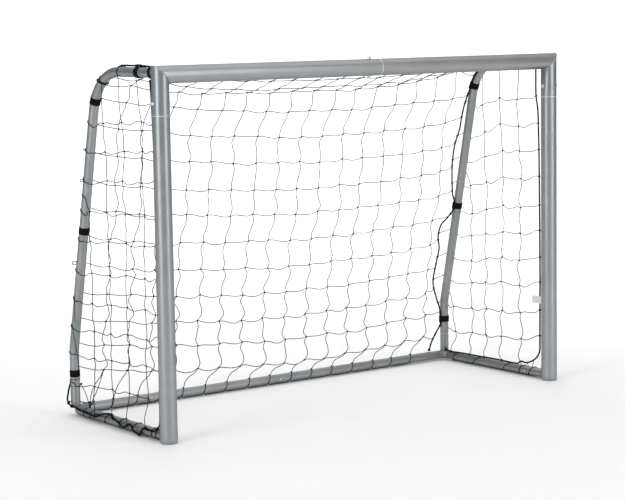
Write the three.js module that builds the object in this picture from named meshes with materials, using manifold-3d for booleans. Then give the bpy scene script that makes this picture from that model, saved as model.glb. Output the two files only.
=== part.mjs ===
// Garden soccer goal: bolted front frame, push-together rear frame, strapped and laced net.
// Millimetres, +Z up. X runs along the crossbar, +Y runs from the mouth to the back.
import * as THREE from 'three';
import { mergeVertices } from 'three/addons/utils/BufferGeometryUtils.js';
import Module from 'manifold-3d';

const wasm = await Module();
wasm.setup();

// ---- driving dimensions ----
const GAP = 0.3;                 // clearance between touching pieces
const POST_X = 870;              // upright axis from the middle of the goal
const POST_R = 30;               // front frame tube
const POST_WALL = 1.5;
const CROSSBAR_Z = 1230;         // crossbar axis height
const POST_SEAM_Z = 1095;        // joint between upright and corner
const CROSSBAR_SEAM_X = 42;      // joint between the crossbar halves
const BOLT_FROM_SEAM = 41;       // bolt centre to joint line
const SPIGOT_LENGTH = 82;        // how far the front frame tubes push together
const SWAGE_ROOT = 6;            // length of the step from a full tube to its reduced end
const CAP_HEIGHT = 8;            // visible height of a foot cap
const TUBE_R = 17;               // rear frame tube
const TUBE_WALL = 1.2;
const REAR_Y = 624;              // rear bar axis behind the post axis
const GROUND_Z = 21.2;           // ground tube axis: the lacing passes below the tube
const GROUND_BEND_R = 36;        // rounded rear corner of the ground tube
const TOP_Z = 1236;              // top side tube axis height
const TOP_BEND_R = 175;          // bend between the top side tube and the slope
const LOW_BEND_R = 150;          // small bend at the foot of the slope
const LOW_BEND_Z = 238;
const SLOPE = THREE.MathUtils.degToRad(12.3); // slope away from vertical
const SLOPE_SEAM_Z = 745;
const STUB_SEAM_Z = 108;
const TUBE_SPIGOT = 60;          // how far the rear frame tubes push together
const SIDE_SPIGOT_END = 150;     // end of the spigot behind each upright
const BUTTON_R = 4;
const BUTTON_PROUD = 3.5;        // how far a snap button stands out of its tube
const SIDE_BUTTON_Y = 119;
const REAR_BUTTON_X = 26;
const STRAP_WIDTH = 25;
const STRAP_THICK = 2.5;
const ROPE_R = 3.2;              // braided border rope
const ROPE_GAP = 2;              // between the rope and the tube it runs along
const LACE_R = 1.2;              // thin lacing cord
const NET_THICK = 3;
const BACK_TOP_Z = 1160;         // top of the back net
const LABEL_Z = 295;             // blank tag on the net beside the right upright
const LABEL_X = 860;
const LABEL_Y = 34;
const LABEL_LENGTH = 50;
const LABEL_WIDTH = 28;
const LABEL_THICK = 1.2;

// ---- derived dimensions ----
const POST_BORE = POST_R - POST_WALL;
const TUBE_BORE = TUBE_R - TUBE_WALL;
const POST_PLUG = POST_BORE - GAP - 0.1;
const TUBE_PLUG = TUBE_BORE - GAP;
const BOLT_R = 4;
const HOLE_R = BOLT_R + GAP;
const NUT_BORE = 9;              // depth of a cap nut's thread
const ROPE_OFFSET = TUBE_R + ROPE_R + ROPE_GAP;         // rope axis to slope tube axis
const GROUND_ROPE_OFFSET = ROPE_OFFSET + 2 * LACE_R + 1;
const SLOPE_DIR = new THREE.Vector2(-Math.sin(SLOPE), Math.cos(SLOPE)); // up the slope, in (y, z)
const slopeY = (z) => REAR_Y - (z - LOW_BEND_Z) * Math.tan(SLOPE);
const TOP_VERTEX_Y = slopeY(TOP_Z);
const STRAP_EASE = 1.7;          // room left for the rope inside a strap
const STRAIGHT_EASE = 0.5;       // room between a strap and a straight tube
const BEND_EASE = 1.6;           // room between a strap and a bent tube
const REAR_FACE = REAR_Y + ROPE_OFFSET + ROPE_R + STRAP_EASE + STRAP_THICK;
const MIDDLE_Y = (REAR_FACE - POST_R) / 2;              // puts the origin under the box's middle

const POST_SEGMENTS = 32;
const TUBE_SEGMENTS = 20;
const SMALL_SEGMENTS = 12;
const ROPE_SIDES = 6;

// ---- materials ----
const finish = (color, roughness, metalness) => ({ color, roughness, metalness });
const PAINT = finish(0xa6abad, 0.38, 0.35);
const STEEL = finish(0xc9cccd, 0.3, 0.9);
const PLASTIC = finish(0x6d7072, 0.6, 0);
const STRAP = finish(0x0c0c0d, 0.9, 0);
const ROPE = finish(0x101011, 0.85, 0);
const NET = finish(0x1b1b1c, 0.85, 0);
const LABEL = finish(0xe9e9e6, 0.8, 0);

const goal = new THREE.Group();
goal.position.y = -MIDDLE_Y;

function addPiece(name, solid, look) {
  const mesh = new THREE.Mesh(toGeometry(solid), new THREE.MeshStandardMaterial(look));
  mesh.name = name;
  goal.add(mesh);
}

// ---- solids ----
function toSolid(geometry) {
  const bare = geometry.clone();
  bare.deleteAttribute('normal');
  bare.deleteAttribute('uv');
  const merged = mergeVertices(bare, 1e-4);
  const vertProperties = new Float32Array(merged.attributes.position.array);
  const triVerts = new Uint32Array(merged.index.array);
  return new wasm.Manifold(new wasm.Mesh({ numProp: 3, vertProperties, triVerts }));
}

function toGeometry(solid) {
  const mesh = solid.getMesh();
  const geometry = new THREE.BufferGeometry();
  geometry.setAttribute('position', new THREE.BufferAttribute(new Float32Array(mesh.vertProperties), 3));
  geometry.setIndex(new THREE.BufferAttribute(new Uint32Array(mesh.triVerts), 1));
  geometry.computeVertexNormals();
  return geometry;
}

const vec = (x, y, z) => new THREE.Vector3(x, y, z);

// A solid of revolution about +Z from (radius, z) pairs, moved to a place and turned to an axis.
function revolve(profile, segments, place, axis = vec(0, 0, 1)) {
  const points = profile.map(([radius, height]) => new THREE.Vector2(radius, height));
  const geometry = new THREE.LatheGeometry(points, segments);
  const turn = new THREE.Quaternion().setFromUnitVectors(vec(0, 1, 0), axis.clone().normalize());
  geometry.applyQuaternion(turn);
  geometry.translate(place.x, place.y, place.z);
  return toSolid(geometry);
}

function rod(from, to, radius, segments) {
  const axis = to.clone().sub(from);
  const length = axis.length();
  const profile = [[0, 0], [radius, 0], [radius, length], [0, length]];
  return revolve(profile, segments, from, axis);
}

function box(low, high) {
  const size = high.clone().sub(low);
  const middle = low.clone().add(high).multiplyScalar(0.5);
  const geometry = new THREE.BoxGeometry(size.x, size.y, size.z);
  geometry.translate(middle.x, middle.y, middle.z);
  return toSolid(geometry);
}

// A path that keeps its own stations instead of spacing them evenly.
class StationPath extends THREE.Curve {
  constructor(stations) {
    super();
    this.stations = stations;
  }

  getUtoTmapping(u) {
    return u;
  }

  getPoint(t, target = vec(0, 0, 0)) {
    const last = this.stations.length - 1;
    const place = THREE.MathUtils.clamp(t, 0, 1) * last;
    const index = Math.min(Math.floor(place), last - 1);
    return target.lerpVectors(this.stations[index], this.stations[index + 1], place - index);
  }
}

function ring(radius, sides) {
  const corners = Array.from({ length: sides }, (_, i) => (2 * Math.PI * (i + 0.5)) / sides);
  return corners.map((angle) => new THREE.Vector2(radius * Math.cos(angle), radius * Math.sin(angle)));
}

function sweep(stations, outer, inner, sides) {
  const shape = new THREE.Shape(ring(outer, sides));
  if (inner > 0) shape.holes.push(new THREE.Path(ring(inner, sides)));
  const extrudePath = new StationPath(stations);
  const settings = { steps: stations.length - 1, bevelEnabled: false, extrudePath };
  return toSolid(new THREE.ExtrudeGeometry(shape, settings));
}

// A polygon in the plane of u and v, given as (u, v) pairs, made into a plate.
function plate(outline, thickness, toWorld) {
  const shape = new THREE.Shape(outline.map(([u, v]) => new THREE.Vector2(u, v)));
  const geometry = new THREE.ExtrudeGeometry(shape, { depth: thickness, bevelEnabled: false });
  geometry.applyMatrix4(toWorld);
  return toSolid(geometry);
}

// ---- front frame ----
// Local to each side: side is -1 on the left and +1 on the right.
function boltHoles(solid, centre, axis) {
  const reach = axis.clone().multiplyScalar(2 * POST_R);
  return solid.subtract(rod(centre.clone().sub(reach), centre.clone().add(reach), HOLE_R, SMALL_SEGMENTS));
}

function upright(side) {
  const top = POST_SEAM_Z + SPIGOT_LENGTH;
  const inner = POST_PLUG - POST_WALL;
  const bottom = CAP_HEIGHT + GAP;
  const profile = [
    [POST_BORE, bottom], [POST_R, bottom], [POST_R, POST_SEAM_Z], [POST_PLUG, POST_SEAM_Z],
    [POST_PLUG, top], [inner, top], [inner, POST_SEAM_Z], [POST_BORE, POST_SEAM_Z - SWAGE_ROOT],
    [POST_BORE, bottom],
  ];
  const tube = revolve(profile, POST_SEGMENTS, vec(side * POST_X, 0, 0));
  return boltHoles(tube, vec(side * POST_X, 0, POST_SEAM_Z + BOLT_FROM_SEAM), vec(1, 0, 0));
}

function footCap(side) {
  const edge = 5;
  const plug = POST_BORE - GAP;
  const plugTop = 36;
  const arc = [30, 60].map((degrees) => THREE.MathUtils.degToRad(degrees));
  const rounded = arc.map((a) => [POST_R - edge + edge * Math.sin(a), edge - edge * Math.cos(a)]);
  const profile = [
    [0, 0], [POST_R - edge, 0], ...rounded, [POST_R, edge], [POST_R, CAP_HEIGHT], [plug, CAP_HEIGHT],
    [plug, plugTop - 3], [plug - 3, plugTop], [0, plugTop],
  ];
  return revolve(profile, POST_SEGMENTS, vec(side * POST_X, 0, 0));
}

// Everything past the 45 degree mitre, on the crossbar's side or on the upright's side.
function mitreCutter(side, keepAbove) {
  const size = 400;
  const geometry = new THREE.BoxGeometry(size, size, size);
  const shift = (size - GAP) / 2;
  geometry.translate(0, 0, keepAbove ? -shift : shift);
  geometry.rotateY(-side * (Math.PI / 4));
  geometry.translate(side * POST_X, 0, CROSSBAR_Z);
  return toSolid(geometry);
}

function hollowTube(from, to) {
  const axis = to.clone().sub(from);
  const length = axis.length();
  const profile = [[POST_BORE, 0], [POST_R, 0], [POST_R, length], [POST_BORE, length], [POST_BORE, 0]];
  return revolve(profile, POST_SEGMENTS, from, axis);
}

function cornerStub(side) {
  const from = vec(side * POST_X, 0, POST_SEAM_Z + GAP);
  const to = vec(side * POST_X, 0, CROSSBAR_Z + 2 * POST_R);
  const stub = hollowTube(from, to).subtract(mitreCutter(side, false));
  return boltHoles(stub, vec(side * POST_X, 0, POST_SEAM_Z + BOLT_FROM_SEAM), vec(1, 0, 0));
}

function crossbarHalf(side) {
  const outer = side * (POST_X + 2 * POST_R);
  const seam = side > 0 ? CROSSBAR_SEAM_X + GAP : CROSSBAR_SEAM_X;
  let bar = hollowTube(vec(seam, 0, CROSSBAR_Z), vec(outer, 0, CROSSBAR_Z));
  bar = bar.subtract(mitreCutter(side, true));
  if (side > 0) {
    const inner = POST_PLUG - POST_WALL;
    const end = SPIGOT_LENGTH + SWAGE_ROOT;
    const intoWall = POST_BORE + POST_WALL / 2;
    const collar = [
      [inner, 0], [POST_PLUG, 0], [POST_PLUG, SPIGOT_LENGTH], [intoWall, SPIGOT_LENGTH],
      [intoWall, end], [inner, end], [inner, 0],
    ];
    bar = bar.add(revolve(collar, POST_SEGMENTS, vec(seam - SPIGOT_LENGTH, 0, CROSSBAR_Z), vec(1, 0, 0)));
  }
  return boltHoles(bar, vec(CROSSBAR_SEAM_X - BOLT_FROM_SEAM, 0, CROSSBAR_Z), vec(0, 0, 1));
}

// A domed bolt through a front frame joint; the head sits at -axis and the nut at +axis.
function bolt(centre, axis) {
  const seat = POST_R + GAP;
  const end = 2 * seat + NUT_BORE - 1;
  const dome = [[0, -5.5], [2.2, -5.3], [4.4, -4.7], [6.4, -3.4], [7.4, -1.6], [7.6, 0]];
  const profile = [...dome, [BOLT_R, 0], [BOLT_R, end], [0, end]];
  return revolve(profile, SMALL_SEGMENTS, centre.clone().addScaledVector(axis, -seat), axis);
}

function capNut(centre, axis) {
  const seat = centre.clone().addScaledVector(axis, POST_R + GAP);
  const hexRadius = 7.5;
  const hexHeight = 5.6;
  const hex = revolve([[0, 0], [hexRadius, 0], [hexRadius, hexHeight], [0, hexHeight]], 6, seat, axis);
  const dome = [[0, 5], [6.1, 5], [6.1, 7], [5.4, 9], [3.8, 10.6], [1.8, 11.3], [0, 11.5]];
  const cap = revolve(dome, SMALL_SEGMENTS, seat, axis);
  const below = seat.clone().addScaledVector(axis, -1);
  const bore = rod(below, seat.clone().addScaledVector(axis, NUT_BORE), HOLE_R, SMALL_SEGMENTS);
  return hex.add(cap).subtract(bore);
}

// ---- rear frame ----
const onSide = (side, y, z) => vec(side * POST_X, y, z);

// Stations along an arc in the side plane, from one (y, z) heading to another.
function sideArc(side, centre, radius, fromAngle, toAngle, count) {
  const step = (toAngle - fromAngle) / count;
  const angles = Array.from({ length: count + 1 }, (_, i) => fromAngle + step * i);
  return angles.map((a) => onSide(side, centre.x + radius * Math.cos(a), centre.y + radius * Math.sin(a)));
}

const TOP_TURN = Math.PI / 2 - SLOPE;
const TOP_TANGENT = TOP_BEND_R * Math.tan(TOP_TURN / 2);
const topBendCentre = () => new THREE.Vector2(TOP_VERTEX_Y - TOP_TANGENT, TOP_Z - TOP_BEND_R);

function topTubeStations(side, firstY) {
  const arc = sideArc(side, topBendCentre(), TOP_BEND_R, Math.PI / 2, Math.PI / 2 - TOP_TURN, 14);
  const end = SLOPE_SEAM_Z + GAP;
  return [onSide(side, firstY, TOP_Z), ...arc, onSide(side, slopeY(end), end)];
}

function lowTubeStations(side) {
  const tangent = LOW_BEND_R * Math.tan(SLOPE / 2);
  const centre = new THREE.Vector2(REAR_Y - LOW_BEND_R, LOW_BEND_Z - tangent);
  const arc = sideArc(side, centre, LOW_BEND_R, 0, SLOPE, 3);
  const top = onSide(side, slopeY(SLOPE_SEAM_Z), SLOPE_SEAM_Z);
  return [onSide(side, REAR_Y, STUB_SEAM_Z + GAP), ...arc, top];
}

// The reduced end of a tube, with the collar that joins it to the full diameter.
function swagedEnd(seam, direction) {
  const wall = TUBE_PLUG - TUBE_WALL;
  const intoWall = TUBE_BORE + 0.8;
  const end = SWAGE_ROOT + TUBE_SPIGOT;
  const profile = [
    [wall, 0], [intoWall, 0], [intoWall, SWAGE_ROOT], [TUBE_PLUG, SWAGE_ROOT],
    [TUBE_PLUG, end], [wall, end], [wall, 0],
  ];
  const start = seam.clone().addScaledVector(direction, -SWAGE_ROOT);
  return revolve(profile, TUBE_SEGMENTS, start, direction);
}

// The space that an upright and the crossbar take up, for cutting the tubes that meet them.
function frontClearance(side, radius) {
  const reach = POST_X + 100;
  const post = rod(vec(side * POST_X, 0, -reach), vec(side * POST_X, 0, 2 * reach), radius, POST_SEGMENTS);
  return post.add(rod(vec(-reach, 0, CROSSBAR_Z), vec(reach, 0, CROSSBAR_Z), radius, POST_SEGMENTS));
}

// Rear tubes start inside an upright and are cut back to its face.
const TUBE_START_Y = 10;

function topSideTube(side) {
  const tube = sweep(topTubeStations(side, TUBE_START_Y), TUBE_R, TUBE_BORE, TUBE_SEGMENTS);
  return tube.subtract(frontClearance(side, POST_R + 2 * GAP));
}

function lowSlopeTube(side) {
  const seam = onSide(side, slopeY(SLOPE_SEAM_Z), SLOPE_SEAM_Z);
  const tube = sweep(lowTubeStations(side), TUBE_R, TUBE_BORE, TUBE_SEGMENTS);
  return tube.add(swagedEnd(seam, vec(0, SLOPE_DIR.x, SLOPE_DIR.y)));
}

function postSpigot(side, z, endY) {
  const stations = [onSide(side, TUBE_START_Y, z), onSide(side, endY, z)];
  const tube = sweep(stations, TUBE_PLUG, TUBE_PLUG - TUBE_WALL, TUBE_SEGMENTS);
  return tube.subtract(frontClearance(side, POST_R + GAP));
}

// The side bar, the rounded rear corner and one half of the rear bar.
function groundStations(side, firstY, lastX) {
  const centre = new THREE.Vector2(POST_X - GROUND_BEND_R, REAR_Y - GROUND_BEND_R);
  const angles = Array.from({ length: 6 }, (_, i) => (i * Math.PI) / 10);
  const corner = angles.map((a) => vec(
    side * (centre.x + GROUND_BEND_R * Math.cos(a)), centre.y + GROUND_BEND_R * Math.sin(a), GROUND_Z,
  ));
  return [onSide(side, firstY, GROUND_Z), ...corner, vec(lastX, REAR_Y, GROUND_Z)];
}

function buttonHole(place, direction) {
  const inside = place.clone().addScaledVector(direction, TUBE_R / 2);
  const outside = place.clone().addScaledVector(direction, 2 * TUBE_R);
  return rod(inside, outside, BUTTON_R + GAP, SMALL_SEGMENTS);
}

function groundTube(side) {
  const lastX = side > 0 ? GAP : 0;
  let tube = sweep(groundStations(side, TUBE_START_Y, lastX), TUBE_R, TUBE_BORE, TUBE_SEGMENTS);
  tube = tube.subtract(frontClearance(side, POST_R + 2 * GAP));
  tube = tube.subtract(buttonHole(onSide(side, SIDE_BUTTON_Y, GROUND_Z), SIDE_BUTTON_OUT));
  if (side < 0) {
    tube = tube.add(swagedEnd(vec(0, REAR_Y, GROUND_Z), vec(1, 0, 0)));
  }
  return tube.subtract(buttonHole(REAR_BUTTON_AT, REAR_BUTTON_OUT));
}

function footSpigot(side) {
  const spigot = postSpigot(side, GROUND_Z, SIDE_SPIGOT_END);
  return spigot.subtract(buttonHole(onSide(side, SIDE_BUTTON_Y, GROUND_Z), SIDE_BUTTON_OUT));
}

function rearStub(side) {
  const foot = vec(side * POST_X, REAR_Y, GROUND_Z + 6);
  const seam = vec(side * POST_X, REAR_Y, STUB_SEAM_Z);
  const stub = sweep([foot, seam], TUBE_R, TUBE_BORE, TUBE_SEGMENTS).add(swagedEnd(seam, vec(0, 0, 1)));
  return stub.subtract(sweep(groundStations(side, 100, side * 600), TUBE_R + GAP, 0, TUBE_SEGMENTS));
}

// ---- snap buttons: a pin riveted to a spring leaf, and the rest of the folded leaf spring ----
const SIDE_BUTTON_OUT = vec(-1, 0, 0);
const REAR_BUTTON_OUT = vec(0, -1, 0);
const REAR_BUTTON_AT = vec(REAR_BUTTON_X, REAR_Y, GROUND_Z);
const LEAF_WIDTH = 9;
const LEAF_THICK = 1;
const LEAF_AT = 8;               // leaf height above the tube axis, towards the button
const LEAF_REACH = 22;           // leaf length past the pin
const LEAF_END = -BUTTON_R - 1;  // free end of both leaves

// Axes of a button: out is the way it points, along is the way its leaf runs.
function buttonFrame(at, out, along) {
  const across = new THREE.Vector3().crossVectors(along, out);
  const frame = new THREE.Matrix4().makeBasis(along, out, across);
  return frame.setPosition(at);
}

function leafPlate(outline, frame) {
  const toEdge = new THREE.Matrix4().makeTranslation(0, 0, -LEAF_WIDTH / 2);
  return plate(outline, LEAF_WIDTH, frame.clone().multiply(toEdge));
}

function snapButton(at, out, along) {
  const length = TUBE_R + BUTTON_PROUD - LEAF_AT;
  const profile = [
    [0, 0], [BUTTON_R, 0], [BUTTON_R, length - 1.6], [BUTTON_R - 0.6, length - 0.6],
    [BUTTON_R - 2, length], [0, length],
  ];
  const pin = revolve(profile, SMALL_SEGMENTS, at.clone().addScaledVector(out, LEAF_AT), out);
  const leafTop = LEAF_AT + 0.2;
  const leaf = [
    [LEAF_END, LEAF_AT - LEAF_THICK], [LEAF_REACH, LEAF_AT - LEAF_THICK],
    [LEAF_REACH, leafTop], [LEAF_END, leafTop],
  ];
  return pin.add(leafPlate(leaf, buttonFrame(at, out, along)));
}

function springClip(at, out, along) {
  const low = -11;
  const start = LEAF_REACH + GAP;
  const radius = (LEAF_AT - low) / 2;
  const middle = (LEAF_AT + low) / 2;
  const angles = Array.from({ length: 9 }, (_, i) => Math.PI / 2 - (i * Math.PI) / 8);
  const arc = (r) => angles.map((a) => [start + r * Math.cos(a), middle + r * Math.sin(a)]);
  const inner = arc(radius - LEAF_THICK).reverse();
  const outline = [...arc(radius), [LEAF_END, low], [LEAF_END, low + LEAF_THICK], ...inner];
  return leafPlate(outline, buttonFrame(at, out, along));
}

// ---- straps ----
// Outline around a tube and the rope beside it; the rope lies at +u.
function strapOutline(extra, tubeEase) {
  const big = TUBE_R + tubeEase + extra;
  const small = ROPE_R + STRAP_EASE + extra;
  const lean = Math.acos((big - small) / ROPE_OFFSET);
  const tubeAngles = Array.from({ length: 15 }, (_, i) => lean + (i * (2 * Math.PI - 2 * lean)) / 14);
  const ropeAngles = Array.from({ length: 6 }, (_, i) => -lean + (i * 2 * lean) / 5);
  const aroundTube = tubeAngles.map((a) => [big * Math.cos(a), big * Math.sin(a)]);
  const aroundRope = ropeAngles.map((a) => [ROPE_OFFSET + small * Math.cos(a), small * Math.sin(a)]);
  return [...aroundRope, ...aroundTube];
}

function strap(centre, along, towardsRope, tubeEase = STRAIGHT_EASE) {
  const across = new THREE.Vector3().crossVectors(along, towardsRope);
  const frame = new THREE.Matrix4().makeBasis(towardsRope, across, along);
  frame.setPosition(centre.clone().addScaledVector(along, -STRAP_WIDTH / 2));
  const longer = frame.clone().setPosition(centre.clone().addScaledVector(along, -STRAP_WIDTH));
  const outer = plate(strapOutline(STRAP_THICK, tubeEase), STRAP_WIDTH, frame);
  return outer.subtract(plate(strapOutline(0, tubeEase), 2 * STRAP_WIDTH, longer));
}

// ---- ropes and lacing ----
function rope(points, steps) {
  const curve = new THREE.CatmullRomCurve3(points.map(([x, y, z]) => vec(x, y, z)));
  return sweep(curve.getSpacedPoints(steps), ROPE_R, 0, ROPE_SIDES);
}

// A point behind the slope tube at a height, with some slack behind it.
function behindSlope(side, z, slack = 0) {
  const y = z > LOW_BEND_Z ? slopeY(z) : REAR_Y;
  const lean = z > LOW_BEND_Z ? SLOPE : 0;
  const distance = ROPE_OFFSET + slack;
  return [side * POST_X, y + distance * Math.cos(lean), z + distance * Math.sin(lean)];
}

// A point on the bend between the top side tube and the slope, moved outwards and towards +X.
function atTopBend(side, degrees, outwards, inX) {
  const angle = THREE.MathUtils.degToRad(degrees);
  const centre = topBendCentre();
  const radius = TOP_BEND_R + outwards;
  return [side * POST_X + inX, centre.x + radius * Math.cos(angle), centre.y + radius * Math.sin(angle)];
}

const outsideTopBend = (side, degrees) => atTopBend(side, degrees, ROPE_OFFSET, 0);
const insideTopBend = (side, degrees) => atTopBend(side, degrees, 0, -side * ROPE_OFFSET);

const besideSlope = (x, z) => [x, z > LOW_BEND_Z ? slopeY(z) : REAR_Y, z];

// A point on the ground tube's upper side, at an angle up from -X.
function overGroundBar(side, y, degrees) {
  const angle = THREE.MathUtils.degToRad(degrees);
  const x = side * POST_X - GROUND_ROPE_OFFSET * Math.cos(angle);
  return [x, y, GROUND_Z + GROUND_ROPE_OFFSET * Math.sin(angle)];
}

const STRAP_TOP_Y = 128;
const STRAP_HEIGHTS = { left: [1135, 675, 152], right: [1131, 644, 169] };
const ROPE_X_AT_STRAP = POST_X - ROPE_OFFSET;

const TOP_ROPE_Z = TOP_Z + ROPE_OFFSET;
const STRAP_HALF = 16;

const LEFT_REAR_ROPE = [
  [-POST_X + 16, 64, TOP_Z + 15], [-POST_X + 9, 86, TOP_Z + 20],
  [-POST_X, STRAP_TOP_Y - STRAP_HALF, TOP_ROPE_Z], [-POST_X, STRAP_TOP_Y + STRAP_HALF, TOP_ROPE_Z],
  [-POST_X, 190, TOP_ROPE_Z], [-POST_X + 2, 228, TOP_ROPE_Z],
  atTopBend(-1, 82, 16, 16), insideTopBend(-1, 69), insideTopBend(-1, 58), atTopBend(-1, 45, 16, 16),
  outsideTopBend(-1, 32), outsideTopBend(-1, 25), outsideTopBend(-1, 18),
  behindSlope(-1, 1000, 1), behindSlope(-1, 860, 2),
  behindSlope(-1, 760, 1), behindSlope(-1, 697), behindSlope(-1, 675), behindSlope(-1, 653),
  behindSlope(-1, 560, 2), behindSlope(-1, 400, 2),
  [-POST_X, REAR_Y + 23, 250], [-POST_X, REAR_Y + ROPE_OFFSET, 174], [-POST_X, REAR_Y + ROPE_OFFSET, 152],
  [-POST_X, REAR_Y + ROPE_OFFSET, 130],
  [-POST_X - 8, REAR_Y + 21, 112], [-POST_X - 20, REAR_Y + 11, 96], [-POST_X - 26, REAR_Y + 9, 76],
  [-POST_X - 26, REAR_Y + 14, 58], [-POST_X - 25, REAR_Y + 9, 45],
];

const RIGHT_REAR_ROPE = [
  [ROPE_X_AT_STRAP, 62, TOP_Z], [ROPE_X_AT_STRAP, STRAP_TOP_Y - STRAP_HALF, TOP_Z],
  [ROPE_X_AT_STRAP, STRAP_TOP_Y + STRAP_HALF, TOP_Z], [ROPE_X_AT_STRAP - 1, 215, TOP_Z],
  insideTopBend(1, 88), insideTopBend(1, 66), insideTopBend(1, 45),
  insideTopBend(1, 31), insideTopBend(1, 23.6), insideTopBend(1, 16),
  besideSlope(834, 1058), besideSlope(827, 1001), besideSlope(826, 960), besideSlope(812, 900),
  besideSlope(810, 850), besideSlope(815, 790), besideSlope(833, 700),
  besideSlope(ROPE_X_AT_STRAP, 666), besideSlope(ROPE_X_AT_STRAP, 644), besideSlope(ROPE_X_AT_STRAP, 622),
  besideSlope(824, 594),
  besideSlope(796, 566), besideSlope(789, 519), besideSlope(803, 470), besideSlope(799, 419),
  besideSlope(795, 331), besideSlope(823, 263), besideSlope(ROPE_X_AT_STRAP - 3, 216),
  [ROPE_X_AT_STRAP, REAR_Y, 194], [ROPE_X_AT_STRAP, REAR_Y, 169], [ROPE_X_AT_STRAP, REAR_Y, 144],
  [826, REAR_Y, 116], [800, REAR_Y, 76], [786, REAR_Y - 2, 47],
];

const FRONT_ROPE_Y = 51;
const LEFT_FRONT_ROPE = [
  [-POST_X, FRONT_ROPE_Y + 12, TOP_Z - TUBE_R - 6], [-POST_X, FRONT_ROPE_Y + 9, 1180],
  [-POST_X - 1, FRONT_ROPE_Y + 3, 1120], [-POST_X, FRONT_ROPE_Y, 1000],
  [-POST_X + 2, FRONT_ROPE_Y, 800], [-POST_X, FRONT_ROPE_Y - 1, 600],
  [-POST_X + 2, FRONT_ROPE_Y, 400], [-POST_X, FRONT_ROPE_Y, 220], [-POST_X, FRONT_ROPE_Y + 1, 120],
  [-POST_X, FRONT_ROPE_Y + 2, 85], [-POST_X - 1, FRONT_ROPE_Y + 1, 64], [-POST_X - 6, FRONT_ROPE_Y - 2, 51],
  [-POST_X - 14, FRONT_ROPE_Y - 1, 43], overGroundBar(-1, 58, 29), overGroundBar(-1, 74, 26),
  overGroundBar(-1, 97, 32), overGroundBar(-1, 121, 36), overGroundBar(-1, 134, 4),
  overGroundBar(-1, 146, -27), overGroundBar(-1, 168, -28), overGroundBar(-1, 187, -11),
  overGroundBar(-1, 202, 20), overGroundBar(-1, 217, 28), overGroundBar(-1, 233, 8),
  overGroundBar(-1, 250, -9), overGroundBar(-1, 286, 14), overGroundBar(-1, 324, 37),
  overGroundBar(-1, 352, 54), overGroundBar(-1, 380, 60), overGroundBar(-1, 404, 41),
  overGroundBar(-1, 428, 18), overGroundBar(-1, 452, 6), overGroundBar(-1, 501, 21),
  overGroundBar(-1, 554, 19), overGroundBar(-1, 584, 30), [-POST_X - 25, 608, 37],
];

const RIGHT_FRONT_ROPE = [
  [POST_X, FRONT_ROPE_Y + 20, TOP_Z - TUBE_R - 6], [POST_X, FRONT_ROPE_Y + 20, 1160],
  [POST_X, FRONT_ROPE_Y + 19, 1098], [POST_X, FRONT_ROPE_Y + 9, 1040], [POST_X, FRONT_ROPE_Y + 5, 945],
  [POST_X, FRONT_ROPE_Y + 3, 860], [POST_X, FRONT_ROPE_Y, 600], [POST_X, FRONT_ROPE_Y - 1, 400],
  [POST_X, FRONT_ROPE_Y, 172], [POST_X - 1, FRONT_ROPE_Y, 110], [POST_X - 3, 62, 84],
  [POST_X - 6, 80, 67.5], [POST_X - 8, 105, 56], [POST_X - 10, 126, 52], [POST_X - 12, 146, 55],
  overGroundBar(1, 166, 63), overGroundBar(1, 196, 58),
  overGroundBar(1, 280, 62), overGroundBar(1, 383, 58), overGroundBar(1, 485, 56),
  overGroundBar(1, 560, 52), [POST_X - 17, 594, 46],
];

const CROSSBAR_ROPE = [
  [-POST_X + 24, 50, 1238], [-600, 47, 1230], [-200, 46, 1226], [200, 46, 1226], [600, 47, 1230],
  [POST_X - 24, 50, 1238],
];

// Lacing cord round a bar: a quick turn at each wrap, then a run along the underside to the next.
function lacing(wraps, toWorld) {
  const turnWidth = 12;
  const turnSteps = 8;
  const cordSides = 4;
  const radius = (TUBE_R + LACE_R + 0.2) / Math.cos(Math.PI / turnSteps);
  const stations = [];
  for (const [index, at] of wraps.entries()) {
    for (let step = 0; step <= turnSteps; step += 1) {
      const angle = -Math.PI / 2 + (2 * Math.PI * step) / turnSteps;
      const along = at - turnWidth + (2 * turnWidth * step) / turnSteps;
      stations.push(toWorld(along, radius * Math.cos(angle), radius * Math.sin(angle)));
    }
    if (index === wraps.length - 1) stations.pop();
  }
  return sweep(stations, LACE_R, 0, cordSides);
}

const NET_PITCH = 100;
const REAR_WRAPS = Array.from({ length: 16 }, (_, i) => (i - 7.5) * NET_PITCH);
const SIDE_WRAPS = { left: [56, 83, 192, 290, 388, 492, 540], right: [95, 151, 240, 420, 547] };
const toRearBar = (along, out, up) => vec(along, REAR_Y - out, GROUND_Z + up);
const toSideBar = (side) => (along, out, up) => vec(side * POST_X - out, along, GROUND_Z + up);

// ---- net panels ----
const NET_EDGE = ROPE_R + 3;
const ROPE_LEAN = 21;            // how far the front ropes may lean back near the top
const ROOF_FRONT = new THREE.Vector2(62, 1222);
const ROOF_BACK = new THREE.Vector2(404, 1164);
const NET_FOOT_Z = GROUND_Z + TUBE_R + 2 * LACE_R + 3;

function crossPlate(from, to, halfWidth) {
  const along = new THREE.Vector3(0, to.x - from.x, to.y - from.y);
  const length = along.length();
  along.normalize();
  const normal = new THREE.Vector3().crossVectors(vec(1, 0, 0), along);
  const frame = new THREE.Matrix4().makeBasis(vec(1, 0, 0), along, normal).setPosition(0, from.x, from.y);
  const outline = [[-halfWidth, 0], [halfWidth, 0], [halfWidth, length], [-halfWidth, length]];
  return plate(outline, NET_THICK, frame);
}

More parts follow.
